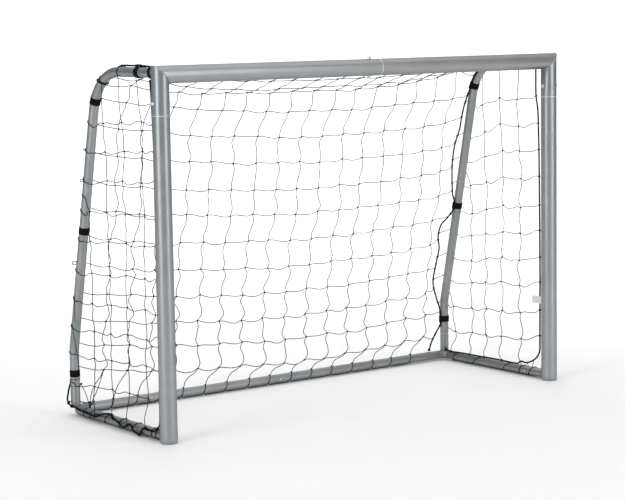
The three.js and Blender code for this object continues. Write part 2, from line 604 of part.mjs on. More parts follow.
function sidePanel(side) {
  const front = FRONT_ROPE_Y + NET_EDGE;
  const inset = TUBE_R + 8;
  const lowZ = GROUND_Z + GROUND_ROPE_OFFSET + NET_EDGE;
  const stubY = REAR_Y - inset;
  const bendAngles = [THREE.MathUtils.radToDeg(SLOPE), 38, 64, 90];
  const outline = [
    [front, lowZ + 90], [front + 80, lowZ], [stubY, lowZ], [stubY, LOW_BEND_Z],
    ...bendAngles.map((degrees) => atTopBend(side, degrees, -inset, 0).slice(1)),
    [front + ROPE_LEAN, TOP_Z - inset], [front + ROPE_LEAN, 1080], [front, 700],
  ];
  const frame = new THREE.Matrix4().makeBasis(vec(0, 1, 0), vec(0, 0, 1), vec(1, 0, 0));
  return plate(outline, NET_THICK, frame.setPosition(side * POST_X - NET_THICK / 2, 0, 0));
}

// ---- assembly ----
const SIDES = [['left', -1], ['right', 1]];
const Y_AXIS = vec(0, 1, 0);
const Z_AXIS = vec(0, 0, 1);
const POST_BOLT_Z = POST_SEAM_Z + BOLT_FROM_SEAM;
const CROSSBAR_BOLT = vec(CROSSBAR_SEAM_X - BOLT_FROM_SEAM, 0, CROSSBAR_Z);

for (const [name, side] of SIDES) {
  addPiece(`upright_${name}`, upright(side), PAINT);
  addPiece(`foot_cap_${name}`, footCap(side), PLASTIC);
  addPiece(`corner_stub_${name}`, cornerStub(side), PAINT);
  addPiece(`crossbar_${name}`, crossbarHalf(side), PAINT);
  addPiece(`post_bolt_${name}`, bolt(vec(side * POST_X, 0, POST_BOLT_Z), vec(side, 0, 0)), STEEL);
  addPiece(`post_nut_${name}`, capNut(vec(side * POST_X, 0, POST_BOLT_Z), vec(side, 0, 0)), STEEL);
}
addPiece('crossbar_bolt', bolt(CROSSBAR_BOLT, Z_AXIS), STEEL);
addPiece('crossbar_nut', capNut(CROSSBAR_BOLT, Z_AXIS), STEEL);

for (const [name, side] of SIDES) {
  addPiece(`top_spigot_${name}`, postSpigot(side, TOP_Z, 112), PAINT);
  addPiece(`top_side_tube_${name}`, topSideTube(side), PAINT);
  addPiece(`low_slope_tube_${name}`, lowSlopeTube(side), PAINT);
  addPiece(`rear_stub_${name}`, rearStub(side), PAINT);
  addPiece(`foot_spigot_${name}`, footSpigot(side), PAINT);
  addPiece(`ground_tube_${name}`, groundTube(side), PAINT);
  const buttonAt = onSide(side, SIDE_BUTTON_Y, GROUND_Z);
  const towardsPost = vec(0, -1, 0);
  addPiece(`side_button_${name}`, snapButton(buttonAt, SIDE_BUTTON_OUT, towardsPost), STEEL);
  addPiece(`side_clip_${name}`, springClip(buttonAt, SIDE_BUTTON_OUT, towardsPost), STEEL);
}
addPiece('rear_button', snapButton(REAR_BUTTON_AT, REAR_BUTTON_OUT, vec(-1, 0, 0)), STEEL);
addPiece('rear_clip', springClip(REAR_BUTTON_AT, REAR_BUTTON_OUT, vec(-1, 0, 0)), STEEL);

// The rear tube's axis and its lean from upright at a height, bend included.
function rearTubeAt(side, z) {
  const centre = topBendCentre();
  const sine = (z - centre.y) / TOP_BEND_R;
  if (sine <= Math.sin(SLOPE)) return { place: onSide(side, slopeY(z), z), lean: SLOPE, ease: STRAIGHT_EASE };
  const lean = Math.asin(sine);
  return { place: onSide(side, centre.x + TOP_BEND_R * Math.cos(lean), z), lean, ease: BEND_EASE };
}

function slopeStrap(side, z) {
  const { place, lean, ease } = rearTubeAt(side, z);
  const along = vec(0, -Math.sin(lean), Math.cos(lean));
  const towards = side < 0 ? vec(0, Math.cos(lean), Math.sin(lean)) : vec(-1, 0, 0);
  return strap(place, along, towards, ease);
}

for (const [name, side] of SIDES) {
  const [high, middle, low] = STRAP_HEIGHTS[name];
  const topTowards = side < 0 ? Z_AXIS : vec(-1, 0, 0);
  const lowTowards = side < 0 ? Y_AXIS : vec(-1, 0, 0);
  addPiece(`strap_top_${name}`, strap(onSide(side, STRAP_TOP_Y, TOP_Z), Y_AXIS, topTowards), STRAP);
  addPiece(`strap_high_${name}`, slopeStrap(side, high), STRAP);
  addPiece(`strap_middle_${name}`, slopeStrap(side, middle), STRAP);
  addPiece(`strap_low_${name}`, strap(onSide(side, REAR_Y, low), Z_AXIS, lowTowards), STRAP);
}

addPiece('rear_rope_left', rope(LEFT_REAR_ROPE, 76), ROPE);
addPiece('rear_rope_right', rope(RIGHT_REAR_ROPE, 76), ROPE);
addPiece('front_rope_left', rope(LEFT_FRONT_ROPE, 96), ROPE);
addPiece('front_rope_right', rope(RIGHT_FRONT_ROPE, 48), ROPE);
addPiece('crossbar_rope', rope(CROSSBAR_ROPE, 14), ROPE);
addPiece('rear_lacing', lacing(REAR_WRAPS, toRearBar), NET);
for (const [name, side] of SIDES) {
  addPiece(`side_lacing_${name}`, lacing(SIDE_WRAPS[name], toSideBar(side)), NET);
}

const BACK_HALF_WIDTH = POST_X - 110;      // clear of the slack rear rope
const backTop = new THREE.Vector2(slopeY(BACK_TOP_Z), BACK_TOP_Z);
const backBottom = new THREE.Vector2(REAR_Y - 1, LOW_BEND_Z + 2);
const footTop = new THREE.Vector2(REAR_Y, LOW_BEND_Z - NET_THICK);
const footBottom = new THREE.Vector2(REAR_Y, NET_FOOT_Z);
addPiece('net_roof', crossPlate(ROOF_FRONT, ROOF_BACK, POST_X - 2 * TUBE_R), NET);
addPiece('net_back', crossPlate(backTop, backBottom, BACK_HALF_WIDTH), NET);
addPiece('net_foot', crossPlate(footTop, footBottom, BACK_HALF_WIDTH), NET);
for (const [name, side] of SIDES) {
  addPiece(`net_side_${name}`, sidePanel(side), NET);
}
const labelLow = vec(LABEL_X, LABEL_Y, LABEL_Z);
const labelHigh = labelLow.clone().add(vec(LABEL_THICK, LABEL_LENGTH, LABEL_WIDTH));
addPiece('net_label', box(labelLow, labelHigh), LABEL);

export default goal;
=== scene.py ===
import random
from math import acos, asin, cos, degrees, pi, radians, sin, sqrt, tan

import bpy
import numpy as np
from mathutils import Matrix, Vector


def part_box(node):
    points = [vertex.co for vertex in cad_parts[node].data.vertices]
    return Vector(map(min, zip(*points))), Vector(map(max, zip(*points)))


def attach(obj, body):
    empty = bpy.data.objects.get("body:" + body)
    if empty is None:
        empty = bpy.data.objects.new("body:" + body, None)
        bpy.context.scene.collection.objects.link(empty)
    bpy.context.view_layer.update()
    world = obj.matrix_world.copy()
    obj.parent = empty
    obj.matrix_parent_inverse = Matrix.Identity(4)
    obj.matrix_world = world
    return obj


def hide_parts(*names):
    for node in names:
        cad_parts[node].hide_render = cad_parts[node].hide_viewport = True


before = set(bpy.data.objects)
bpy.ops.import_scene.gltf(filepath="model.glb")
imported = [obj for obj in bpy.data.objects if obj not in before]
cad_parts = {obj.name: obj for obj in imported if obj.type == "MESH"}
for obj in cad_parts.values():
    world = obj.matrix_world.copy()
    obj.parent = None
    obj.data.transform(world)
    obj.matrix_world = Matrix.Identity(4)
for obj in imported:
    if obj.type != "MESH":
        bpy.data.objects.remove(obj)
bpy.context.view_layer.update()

RANDOM = random.Random(7)

# ---- sizes in metres, read from the frame's boxes where it has them ----
def middle(node):
    low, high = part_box(node)
    return (low + high) / 2


def size_of(node):
    low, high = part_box(node)
    return high - low


SIDES = (("left", -1), ("right", 1))
# front frame
POST_X = middle("upright_right").x
FRONT_Y = middle("foot_cap_right").y
POST_R = size_of("foot_cap_right").x / 2
CROSSBAR_Z = middle("crossbar_right").z
POST_SEAM_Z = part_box("corner_stub_right")[0].z
CROSSBAR_SEAM_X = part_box("crossbar_left")[1].x
BOLT_Z = middle("post_bolt_left").z
BOLT_X = middle("crossbar_bolt").x
POST_WALL = 0.0015
CAP_HEIGHT = 0.008
SEAM_GAP = 0.0006
CUT_EDGE = 0.0004
HOLE_R = 0.0043
FRONT_BEAD_R, REAR_BEAD_R = 0.0013, 0.0009
# rear frame
TUBE_R = 0.017
TUBE_WALL = 0.0012
REAR_Y = middle("rear_stub_right").y
GROUND_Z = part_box("ground_tube_right")[0].z + size_of("ground_tube_right").z / 2
TOP_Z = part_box("top_side_tube_right")[1].z - size_of("rear_stub_right").x / 2
SLOPE_SEAM_Z = 0.745
STUB_SEAM_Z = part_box("low_slope_tube_right")[0].z
SLOPE = radians(12.3)
LOW_BEND_Z = 0.238
LOW_BEND_R = 0.150
TOP_BEND_R = 0.175
GROUND_BEND_R = 0.036
POST_CLEARANCE = 0.0006
# snap buttons, each with a leaf behind it that runs from start to end along the tube
BUTTON_R = 0.004
LEAF_START, LEAF_END = -0.005, 0.022
SIDE_BUTTON_Y = middle("side_button_left").y + (LEAF_START + LEAF_END) / 2
REAR_BUTTON_X = middle("rear_button").x + (LEAF_START + LEAF_END) / 2
# ropes, cords and straps
ROPE_R = 0.0032
LACE_R = 0.0013
CORD_R = 0.0015
KNOT_R = 0.0034
HITCH_R = 0.0050
STRAP_WIDTH = 0.025
STRAP_TOP_Y = middle("strap_top_left").y
ROPE_OFFSET = 0.0222
GROUND_ROPE_OFFSET = 0.0256
LABEL_LOW, LABEL_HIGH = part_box("net_label")

X_DIR, Y_DIR, Z_DIR = np.eye(3)


def vec(*values):
    return np.array(values, float)


def slope_y(z):
    """Where the axis of a rear tube's slope is at a height; below the low bend it is upright."""
    return REAR_Y - max(z - LOW_BEND_Z, 0) * tan(SLOPE)


# ---- materials ----
def material(name, settings, build, variant="look"):
    made = bpy.data.materials.new(f"{name}_{variant}")
    made["slot"] = name
    made.use_nodes = True
    tree = made.node_tree
    shader = tree.nodes["Principled BSDF"]
    for socket, value in settings.items():
        shader.inputs[socket].default_value = value
    build(tree, shader)
    return made


def noise(tree, scale, detail=3.0, stretch=None):
    node = tree.nodes.new("ShaderNodeTexNoise")
    node.inputs["Scale"].default_value = scale
    node.inputs["Detail"].default_value = detail
    coords = tree.nodes.new("ShaderNodeTexCoord").outputs["Object"]
    if stretch:
        mapping = tree.nodes.new("ShaderNodeMapping")
        mapping.inputs["Scale"].default_value = stretch
        tree.links.new(coords, mapping.inputs["Vector"])
        coords = mapping.outputs["Vector"]
    tree.links.new(coords, node.inputs["Vector"])
    return node.outputs["Fac"]


def ramp(tree, value, low, high):
    node = tree.nodes.new("ShaderNodeValToRGB")
    for stop, position, colour in zip(node.color_ramp.elements, (0.3, 0.7), (low, high)):
        stop.position = position
        stop.color = (*colour, 1)
    tree.links.new(value, node.inputs["Fac"])
    return node.outputs["Color"]


def tint(tree, shader, value, low, high):
    tree.links.new(ramp(tree, value, low, high), shader.inputs["Base Color"])


def bump(tree, shader, value, strength, distance):
    node = tree.nodes.new("ShaderNodeBump")
    node.inputs["Strength"].default_value = strength
    node.inputs["Distance"].default_value = distance
    tree.links.new(value, node.inputs["Height"])
    tree.links.new(node.outputs["Normal"], shader.inputs["Normal"])


def painted(low, high):
    """Silver paint: a faint cloudiness, a fine grain and an uneven gloss."""
    def build(tree, shader):
        tint(tree, shader, noise(tree, 9.0), low, high)
        bump(tree, shader, noise(tree, 900.0, 2.0), 0.10, 0.0004)
        rough = ramp(tree, noise(tree, 40.0), (0.33,) * 3, (0.43,) * 3)
        tree.links.new(rough, shader.inputs["Roughness"])
    return build


def grain(scale, low, high, strength, distance, detail=3.0, stretch=None, relief=None):
    """A two-tone grain and its relief, which has a noise scale of its own where relief is given."""
    def build(tree, shader):
        tone = noise(tree, scale, detail, stretch)
        tint(tree, shader, tone, low, high)
        bump(tree, shader, noise(tree, relief) if relief else tone, strength, distance)
    return build


# near-white grain for the front tube ends: bare metal, lightened further as a painted highlight
BARE_METAL_AND_HIGHLIGHT = grain(200.0, (0.78, 0.79, 0.80), (0.92, 0.93, 0.94), 0.15, 0.0003, relief=900.0)
ZINC = grain(300.0, (0.55, 0.56, 0.57), (0.74, 0.75, 0.76), 0.15, 0.0003, detail=4.0, relief=1500.0)
MOULDED = grain(60.0, (0.25, 0.265, 0.275), (0.30, 0.315, 0.325), 0.2, 0.0003, relief=1200.0)
HOOKS = grain(700.0, (0.002, 0.002, 0.0025), (0.011, 0.011, 0.012), 0.8, 0.0010, detail=5.0)
BRAIDED = grain(1100.0, (0.002, 0.002, 0.002), (0.008, 0.008, 0.0085), 0.6, 0.0006, detail=4.0)
CORDED = grain(1600.0, (0.005, 0.005, 0.005), (0.020, 0.020, 0.021), 0.5, 0.0004)
WOVEN = grain(500.0, (0.70, 0.71, 0.70), (0.84, 0.85, 0.84), 0.4, 0.0004, detail=2.0, stretch=(1, 6, 1))
SATIN = {"Metallic": 0.75, "Specular Tint": (0.25, 0.25, 0.25, 1)}
# the rear tubes have the same silver paint as the front, given darker tones as painted shade
FRONT_TONES, SHADED_TONES = ((0.330, 0.350, 0.362), (0.365, 0.385, 0.396)), ((0.275, 0.292, 0.302), (0.350, 0.368, 0.378))
PAINT = material("silver_paint", SATIN, painted(*FRONT_TONES))
# a copy of the silver paint with painted shade, for the rear tubes
SHADED_REAR_PAINT = material("silver_paint", SATIN, painted(*SHADED_TONES), "rear_shaded_look")
# the front tube ends' look: bare metal with a painted highlight
EDGE_HIGHLIGHT = material("zinc_steel", {"Metallic": 0.6, "Roughness": 0.35}, BARE_METAL_AND_HIGHLIGHT, "edge_highlight_look")
STEEL = material("zinc_steel", {"Metallic": 1.0, "Roughness": 0.28}, ZINC)
PLASTIC = material("cap_plastic", {"Roughness": 0.5}, MOULDED)
STRAP = material("hook_loop", {"Roughness": 0.95, "Specular IOR Level": 0.1}, HOOKS)
ROPE = material("braided_rope", {"Roughness": 0.85, "Specular IOR Level": 0.1}, BRAIDED)
CORD = material("net_cord", {"Roughness": 0.85, "Specular IOR Level": 0.2}, CORDED)
LABEL = material("label_cloth", {"Roughness": 0.8}, WOVEN)


# ---- meshes ----
def linked(name, data):
    obj = bpy.data.objects.new(name, data)
    bpy.context.scene.collection.objects.link(obj)
    return obj


def mesh_object(name, verts, faces):
    mesh = bpy.data.meshes.new(name)
    mesh.from_pydata([tuple(v) for v in verts], [], faces)
    return linked(name, mesh)


class Shape:
    """Vertices and faces gathered from several parts into one piece."""

    def __init__(self, *parts):
        self.verts = []
        self.faces = []
        self.count = 0
        for part in parts:
            self.add(part)

    def add(self, part):
        verts, faces = part
        self.verts.append(np.asarray(verts, float))
        self.faces += [tuple(i + self.count for i in f) for f in faces]
        self.count += len(verts)
        return self

    def piece(self, name, look, nodes=(), body="root", sharp=35):
        obj = mesh_object(name, np.concatenate(self.verts).tolist(), self.faces)
        obj.data.materials.append(look)
        obj.data.shade_smooth()
        obj.data.set_sharp_from_angle(angle=radians(sharp))
        if nodes:
            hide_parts(*nodes)
        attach(obj, body)
        return obj


def turn_angles(count):
    return np.linspace(0, 2 * pi, count, endpoint=False)


def unit(v):
    v = np.asarray(v, float)
    return v / np.linalg.norm(v)


def smooth_path(points, step):
    """Catmull-Rom curve through given points, in nearly even steps."""
    pts = np.asarray(points, float)
    ext = np.vstack([2 * pts[0] - pts[1], pts, 2 * pts[-1] - pts[-2]])
    out = []
    for i in range(len(pts) - 1):
        p0, p1, p2, p3 = ext[i:i + 4]
        count = max(2, int(np.linalg.norm(p2 - p1) / step) + 1)
        t = np.linspace(0, 1, count, endpoint=False)[:, None]
        out.append(0.5 * (2 * p1 + (p2 - p0) * t + (2 * p0 - 5 * p1 + 4 * p2 - p3) * t ** 2
                          + (3 * p1 - p0 - 3 * p2 + p3) * t ** 3))
    out.append(pts[-1:])
    return np.concatenate(out)


def path_frames(path):
    """Tangent, normal and binormal at each point, turned as little as possible."""
    tangents = np.gradient(path, axis=0)
    tangents /= np.linalg.norm(tangents, axis=1)[:, None]
    start = Z_DIR if abs(tangents[0][2]) < 0.9 else X_DIR
    normal = unit(start - tangents[0] * (start @ tangents[0]))
    normals = [normal]
    for t in tangents[1:]:
        normal = unit(normal - t * (normal @ t))
        normals.append(normal)
    normals = np.array(normals)
    return tangents, normals, np.cross(tangents, normals)


def tube_rings(path, radii, sides):
    """Rings round a path; radii is one number, one for each ring, or one for each ring's corners."""
    _, normals, binormals = path_frames(path)
    angles = turn_angles(sides)[None, :, None]
    around = np.cos(angles) * normals[:, None] + np.sin(angles) * binormals[:, None]
    radii = np.asarray(radii, float)
    radii = radii[:, None] if radii.ndim == 1 else radii
    return path[:, None] + around * np.broadcast_to(radii, (len(path), sides))[:, :, None]


def join_rings(rings, closed=False):
    """Quads between successive rings; a closed chain joins the last ring to the first."""
    count, sides = rings.shape[:2]
    faces = []
    for i in range(count if closed else count - 1):
        a, b = i * sides, ((i + 1) % count) * sides
        for k in range(sides):
            n = (k + 1) % sides
            faces.append((a + k, a + n, b + n, b + k))
    return rings.reshape(-1, 3), faces


def capped(rings):
    """Rings joined one to the next, with a flat face at each end."""
    verts, faces = join_rings(rings)
    sides = rings.shape[1]
    last = len(verts) - sides
    faces += [tuple(reversed(range(sides))), tuple(range(last, last + sides))]
    return verts, faces


def solid_tube(path, radii, sides):
    return capped(tube_rings(np.asarray(path, float), radii, sides))


def hoop(path, radii):
    """A bead that runs round a closed path."""
    return join_rings(tube_rings(np.asarray(path, float), radii, 8), closed=True)


def hollow_tube(path, outer, wall, sides=48):
    """A pipe along a path with both ends cut square and a small rounded edge."""
    path = np.asarray(path, float)
    tangents = path_frames(path)[0]
    first, last = path[0] + tangents[0] * CUT_EDGE, path[-1] - tangents[-1] * CUT_EDGE
    long_path = np.vstack([path[:1], first, path[1:-1], last, path[-1:]])
    outer_radii = np.full(len(long_path), outer)
    outer_radii[[0, -1]] = outer - CUT_EDGE
    outside = tube_rings(long_path, outer_radii, sides)
    inside = tube_rings(path, outer - wall, sides)[::-1]
    return join_rings(np.concatenate([outside, inside]), closed=True)


def arc_points(centre, radius, start, end, count):
    """Pairs along an arc, whose angle is measured from the first value's axis towards the second's."""
    return [(centre[0] + radius * cos(a), centre[1] + radius * sin(a))
            for a in np.linspace(start, end, count)]


def turned(profile, sides, place, axis=(0, 0, 1)):
    """A solid of revolution from (radius, height) pairs that start and end on the axis."""
    turn = Vector(Z_DIR).rotation_difference(Vector(axis)).to_matrix()
    verts, faces, rows = [], [], []
    for radius, height in profile:
        count = 1 if radius < 1e-9 else sides
        rows.append(list(range(len(verts), len(verts) + count)))
        verts += [(x, y, height) for x, y in arc_points((0, 0), radius, 0, 2 * pi, count + 1)[:-1]]
    for low, high in zip(rows, rows[1:]):
        for k in range(sides):
            n = (k + 1) % sides
            corners = [low[k % len(low)], low[n % len(low)], high[n % len(high)], high[k % len(high)]]
            face = tuple(dict.fromkeys(corners))
            if len(face) > 2:
                faces.append(face)
    return [Vector(place) + turn @ Vector(v) for v in verts], faces


def rod(a, b, radius, sides=24):
    axis = Vector(b) - Vector(a)
    profile = [(0, 0), (radius, 0), (radius, axis.length), (0, axis.length)]
    return turned(profile, sides, a, axis)


def cut(obj, *parts):
    """Takes solids away from a piece."""
    tools = [mesh_object("cutter", *part) for part in parts]
    for tool in tools:
        mod = obj.modifiers.new("cut", "BOOLEAN")
        mod.object = tool
        mod.operation = "DIFFERENCE"
        mod.solver = "EXACT"
    bpy.context.view_layer.update()
    evaluated = obj.evaluated_get(bpy.context.evaluated_depsgraph_get())
    mesh = bpy.data.meshes.new_from_object(evaluated)
    obj.modifiers.clear()
    old = obj.data
    obj.data = mesh
    bpy.data.meshes.remove(old)
    for tool in tools:
        bpy.data.objects.remove(tool)
    obj.data.shade_smooth()
    obj.data.set_sharp_from_angle(angle=radians(35))


# ---- front frame ----
POST_SIDES = 64
SPIGOT_R = POST_R - 0.0019
UPRIGHT_SPIGOT = 0.0815
CROSSBAR_SPIGOT = 0.082
SPIGOT_ROOT = 0.006


def at(side, y, z):
    return vec(side * POST_X, y, z)


def across(axis, hint):
    """Two directions square to an axis; the hint fixes where the first one points."""
    first = unit(np.cross(axis, hint))
    return first, np.cross(axis, first)


def circle(centre, first, second, radius, angles):
    """Points round a centre, at angles from the first direction towards the second."""
    angles = np.asarray(angles, float)[:, None]
    return centre + radius * (np.cos(angles) * first + np.sin(angles) * second)


def mitred_pipe(side, start, corner):
    """A pipe of the front frame whose far end is cut on the corner's 45 degree plane."""
    length = np.linalg.norm(corner - start)
    axis = unit(corner - start)
    offsets = circle(0, Y_DIR, np.cross(axis, Y_DIR), 1, turn_angles(POST_SIDES))
    inner = -side * X_DIR if abs(axis[2]) > 0.5 else -Z_DIR

    def square(radius, reach):
        return start + offsets * radius + axis * reach

    def mitre(radius, reach):
        return square(radius, (length - radius * (offsets @ inner) - SEAM_GAP / 2 + reach)[:, None])

    rings = [square(POST_R - CUT_EDGE, 0), square(POST_R, CUT_EDGE)]
    if length > 0.3:
        rings += [square(POST_R, length * s) for s in np.linspace(0.1, 0.8, 8)]
    rings += [mitre(POST_R, -CUT_EDGE), mitre(POST_R - CUT_EDGE, 0), mitre(POST_R - POST_WALL, 0)]
    rings.append(square(POST_R - POST_WALL, 0))
    return join_rings(np.array(rings), closed=True)


def spigot(seam, axis, back, reach):
    """The narrower pipe that stands out of a front tube's end and fills the next tube."""
    return hollow_tube([seam - back * axis, seam + reach * axis], SPIGOT_R, POST_WALL, POST_SIDES)


def end_edge(centre, axis, radius, bead):
    """The rolled edge of a tube end at a push joint: bare metal, with a painted highlight in its near-white
    tone.
    """
    first, second = across(axis, [0.31, 0.2, 0.93])
    return hoop(circle(centre, first, second, radius - 0.0006, turn_angles(64)), bead)


def bolt_hole(centre, axis):
    return rod(centre - 2 * POST_R * axis, centre + 2 * POST_R * axis, HOLE_R)


def upright(name, side, seam):
    foot = at(side, FRONT_Y, CAP_HEIGHT + 0.0003)
    path = [foot, (seam + foot) / 2, seam - SEAM_GAP * Z_DIR]
    post = Shape(hollow_tube(path, POST_R, POST_WALL, POST_SIDES),
                 spigot(seam, Z_DIR, SPIGOT_ROOT, UPRIGHT_SPIGOT))
    cut(post.piece(f"front_upright_{name}", PAINT, [f"upright_{name}"]),
        bolt_hole(at(side, FRONT_Y, BOLT_Z), X_DIR))


def corner_stub(name, side, seam, corner):
    stub = Shape(mitred_pipe(side, seam, corner))
    cut(stub.piece(f"front_corner_{name}", PAINT, [f"corner_stub_{name}"]),
        bolt_hole(at(side, FRONT_Y, BOLT_Z), X_DIR))


def crossbar_half(name, side, start, corner):
    bar = Shape(mitred_pipe(side, start, corner))
    if name == "right":
        bar.add(spigot(start, X_DIR, CROSSBAR_SPIGOT, SPIGOT_ROOT))
    cut(bar.piece(f"crossbar_half_{name}", PAINT, [f"crossbar_{name}"]),
        bolt_hole(vec(BOLT_X, FRONT_Y, CROSSBAR_Z), Z_DIR))


def mitre_weld(name, side, corner):
    """The rippled bead that fills the mitre all round."""
    path = circle(corner, -side * X_DIR - Z_DIR, Y_DIR, POST_R * 0.998, turn_angles(96))
    radii = 0.0016 + 0.0003 * np.sin(44 * turn_angles(97)[:-1])
    Shape(hoop(path, radii)).piece(f"mitre_weld_{name}", PAINT)


def foot_cap(name, side):
    """The moulded cap under an upright: a dished tread, a rounded rim and a plug inside the tube."""
    recess, rounding, lip, plug_top = 0.0012, 0.005, 0.0005, 0.036
    profile = [(0, recess), (0.012, recess), (0.0135, 0), (POST_R - rounding, 0)]
    profile += arc_points((POST_R - rounding, rounding), rounding, 0.2 - pi / 2, 0, 8)
    profile += [(POST_R, CAP_HEIGHT - lip), (POST_R - lip, CAP_HEIGHT), (SPIGOT_R, CAP_HEIGHT)]
    profile += [(SPIGOT_R, plug_top - 0.003), (SPIGOT_R - 0.0026, plug_top), (0, plug_top)]
    cap = Shape(turned(profile, POST_SIDES, at(side, FRONT_Y, 0)))
    cap.piece(f"upright_foot_{name}", PLASTIC, [f"foot_cap_{name}"])


def bolt_and_nut(name, centre, axis, bolt, nut):
    """A dome-headed bolt right through a tube, with a cap nut on its far side."""
    seat = POST_R + 0.0001
    shank_r, shank_end = 0.004, 2 * seat + 0.008
    head_r, head_rim, head_height = 0.0076, 0.0009, 0.0048
    quarter = np.linspace(0, pi / 2, 9)
    profile = [(head_r * sin(a), -head_rim - head_height * cos(a)) for a in quarter]
    profile += [(head_r, 0), (shank_r, 0), (shank_r, shank_end), (0, shank_end)]
    screw = Shape(turned(profile, 32, centre - axis * seat, axis))
    screw.piece(f"{name}_screw", STEEL, [bolt])
    # the hexagon stays open at its top, which the crown covers
    bore, bore_end = 0.0041, 0.0092
    hexagon = [(0, bore_end), (bore, bore_end), (bore, 0), (0.0072, 0), (0.0075, 0.0005), (0.0075, 0.0048),
               (0.0068, 0.0058)]
    crown_r = 0.0062
    crown = [(0, 0.0095), (0.0055, 0.0052), (crown_r, 0.0055)]
    crown += [(crown_r * sin(a), 0.0062 + 0.0053 * cos(a)) for a in np.linspace(1.45, 0.25, 8)]
    crown.append((0, 0.0115))
    cap_nut = Shape()
    for part, sides in ((hexagon, 6), (crown, 32)):
        cap_nut.add(turned(part, sides, centre + axis * seat, axis))
    cap_nut.piece(f"{name}_cap_nut", STEEL, [nut])


for name, side in SIDES:
    corner = at(side, FRONT_Y, CROSSBAR_Z)
    seam = at(side, FRONT_Y, POST_SEAM_Z)
    bar_start = vec(CROSSBAR_SEAM_X + (SEAM_GAP if name == "right" else 0), FRONT_Y, CROSSBAR_Z)
    upright(name, side, seam)
    corner_stub(name, side, seam, corner)
    crossbar_half(name, side, bar_start, corner)
    mitre_weld(name, side, corner)
    # the front tube end edges carry a painted highlight in their tone
    edges = Shape(end_edge(seam, Z_DIR, POST_R, FRONT_BEAD_R))
    if name == "right":
        edges.add(end_edge(bar_start, X_DIR, POST_R, FRONT_BEAD_R))
    edges.piece(f"front_tube_edge_{name}", EDGE_HIGHLIGHT)
    foot_cap(name, side)
for name, side in SIDES:
    bolt_and_nut(f"corner_{name}", at(side, FRONT_Y, BOLT_Z), side * X_DIR,
                 f"post_bolt_{name}", f"post_nut_{name}")
bolt_and_nut("crossbar", vec(BOLT_X, FRONT_Y, CROSSBAR_Z), Z_DIR, "crossbar_bolt", "crossbar_nut")


# ---- rear frame ----
TOP_TURN = pi / 2 - SLOPE
TOP_BEND_CENTRE = (slope_y(TOP_Z) - TOP_BEND_R * tan(TOP_TURN / 2), TOP_Z - TOP_BEND_R)
LOW_BEND_CENTRE = (REAR_Y - LOW_BEND_R, LOW_BEND_Z - LOW_BEND_R * tan(SLOPE / 2))
MEETING_Y = FRONT_Y + POST_R + 0.0004
SLOPE_UP = vec(0, -sin(SLOPE), cos(SLOPE))
SLOPE_BACK = vec(0, cos(SLOPE), sin(SLOPE))
PLUG_R = TUBE_R - TUBE_WALL - 0.0003
PLUG_LENGTH, PLUG_ROOT = 0.058, 0.004
BUTTON_ROOT = 0.008
REAR_BUTTON_AT = vec(REAR_BUTTON_X, REAR_Y, GROUND_Z)


def plug(start, direction):
    """The reduced end of a tube that pushes into the next one."""
    ends = [start - direction * PLUG_ROOT, start + direction * PLUG_LENGTH]
    return hollow_tube(ends, PLUG_R, TUBE_WALL, 32)


def front_tube_room(a, b):
    """The room that a rear tube leaves for the front tube it meets."""
    return rod(a, b, POST_R + POST_CLEARANCE, POST_SIDES)


def button_hole(centre, out):
    return rod(centre + BUTTON_ROOT * out, centre + 2 * TUBE_R * out, HOLE_R)


def top_side_tube(name, side, seam):
    arc = [at(side, y, z) for y, z in arc_points(TOP_BEND_CENTRE, TOP_BEND_R, pi / 2, SLOPE, 28)]
    path = [at(side, MEETING_Y, TOP_Z), *arc, seam + SLOPE_UP * SEAM_GAP]
    tube = Shape(hollow_tube(path, TUBE_R, TUBE_WALL))
    tube = tube.piece(f"top_side_bend_{name}", SHADED_REAR_PAINT, [f"top_side_tube_{name}"])
    bar_end = vec(0.95, FRONT_Y, CROSSBAR_Z)
    cut(tube, front_tube_room(at(side, FRONT_Y, 0.9), at(side, FRONT_Y, 1.4)),
        front_tube_room(bar_end * [-1, 1, 1], bar_end))


def low_slope_tube(name, side, seam, low_seam):
    arc = [at(side, y, z) for y, z in arc_points(LOW_BEND_CENTRE, LOW_BEND_R, 0, SLOPE, 8)]
    tube = Shape(hollow_tube([low_seam, *arc, seam], TUBE_R, TUBE_WALL), plug(seam, SLOPE_UP))
    tube.piece(f"slope_tube_{name}", SHADED_REAR_PAINT, [f"low_slope_tube_{name}"])


def ground_path(side):
    """The route of a ground bar: the side bar, the rear corner and half of the rear bar."""
    corner = (POST_X - GROUND_BEND_R, REAR_Y - GROUND_BEND_R)
    bend = [(side * x, y, GROUND_Z) for x, y in arc_points(corner, GROUND_BEND_R, 0, pi / 2, 16)]
    return np.array([at(side, MEETING_Y, GROUND_Z), *bend, (SEAM_GAP if side > 0 else 0, REAR_Y, GROUND_Z)])


def corner_post(name, side, low_seam):
    """The short stub on the ground bar's corner, hollowed below to sit on the bar."""
    top = low_seam - SEAM_GAP * Z_DIR
    stub = Shape(hollow_tube([at(side, REAR_Y, GROUND_Z + 0.006), top], TUBE_R, TUBE_WALL), plug(top, Z_DIR))
    stub = stub.piece(f"corner_post_{name}", SHADED_REAR_PAINT, [f"rear_stub_{name}"])
    saddle = [*ground_path(side)[:-1], (side * 0.6, REAR_Y, GROUND_Z)]
    cut(stub, solid_tube(saddle, TUBE_R + 0.0003, 48))


def ground_bar(name, side):
    path = ground_path(side)
    bar = Shape(hollow_tube(path, TUBE_R, TUBE_WALL))
    if name == "left":
        bar.add(plug(path[-1], X_DIR))
    bar = bar.piece(f"ground_bar_{name}", SHADED_REAR_PAINT, [f"ground_tube_{name}"])
    cut(bar, front_tube_room(at(side, FRONT_Y, -0.1), at(side, FRONT_Y, 0.1)),
        button_hole(at(side, SIDE_BUTTON_Y, GROUND_Z), -X_DIR), button_hole(REAR_BUTTON_AT, -Y_DIR))


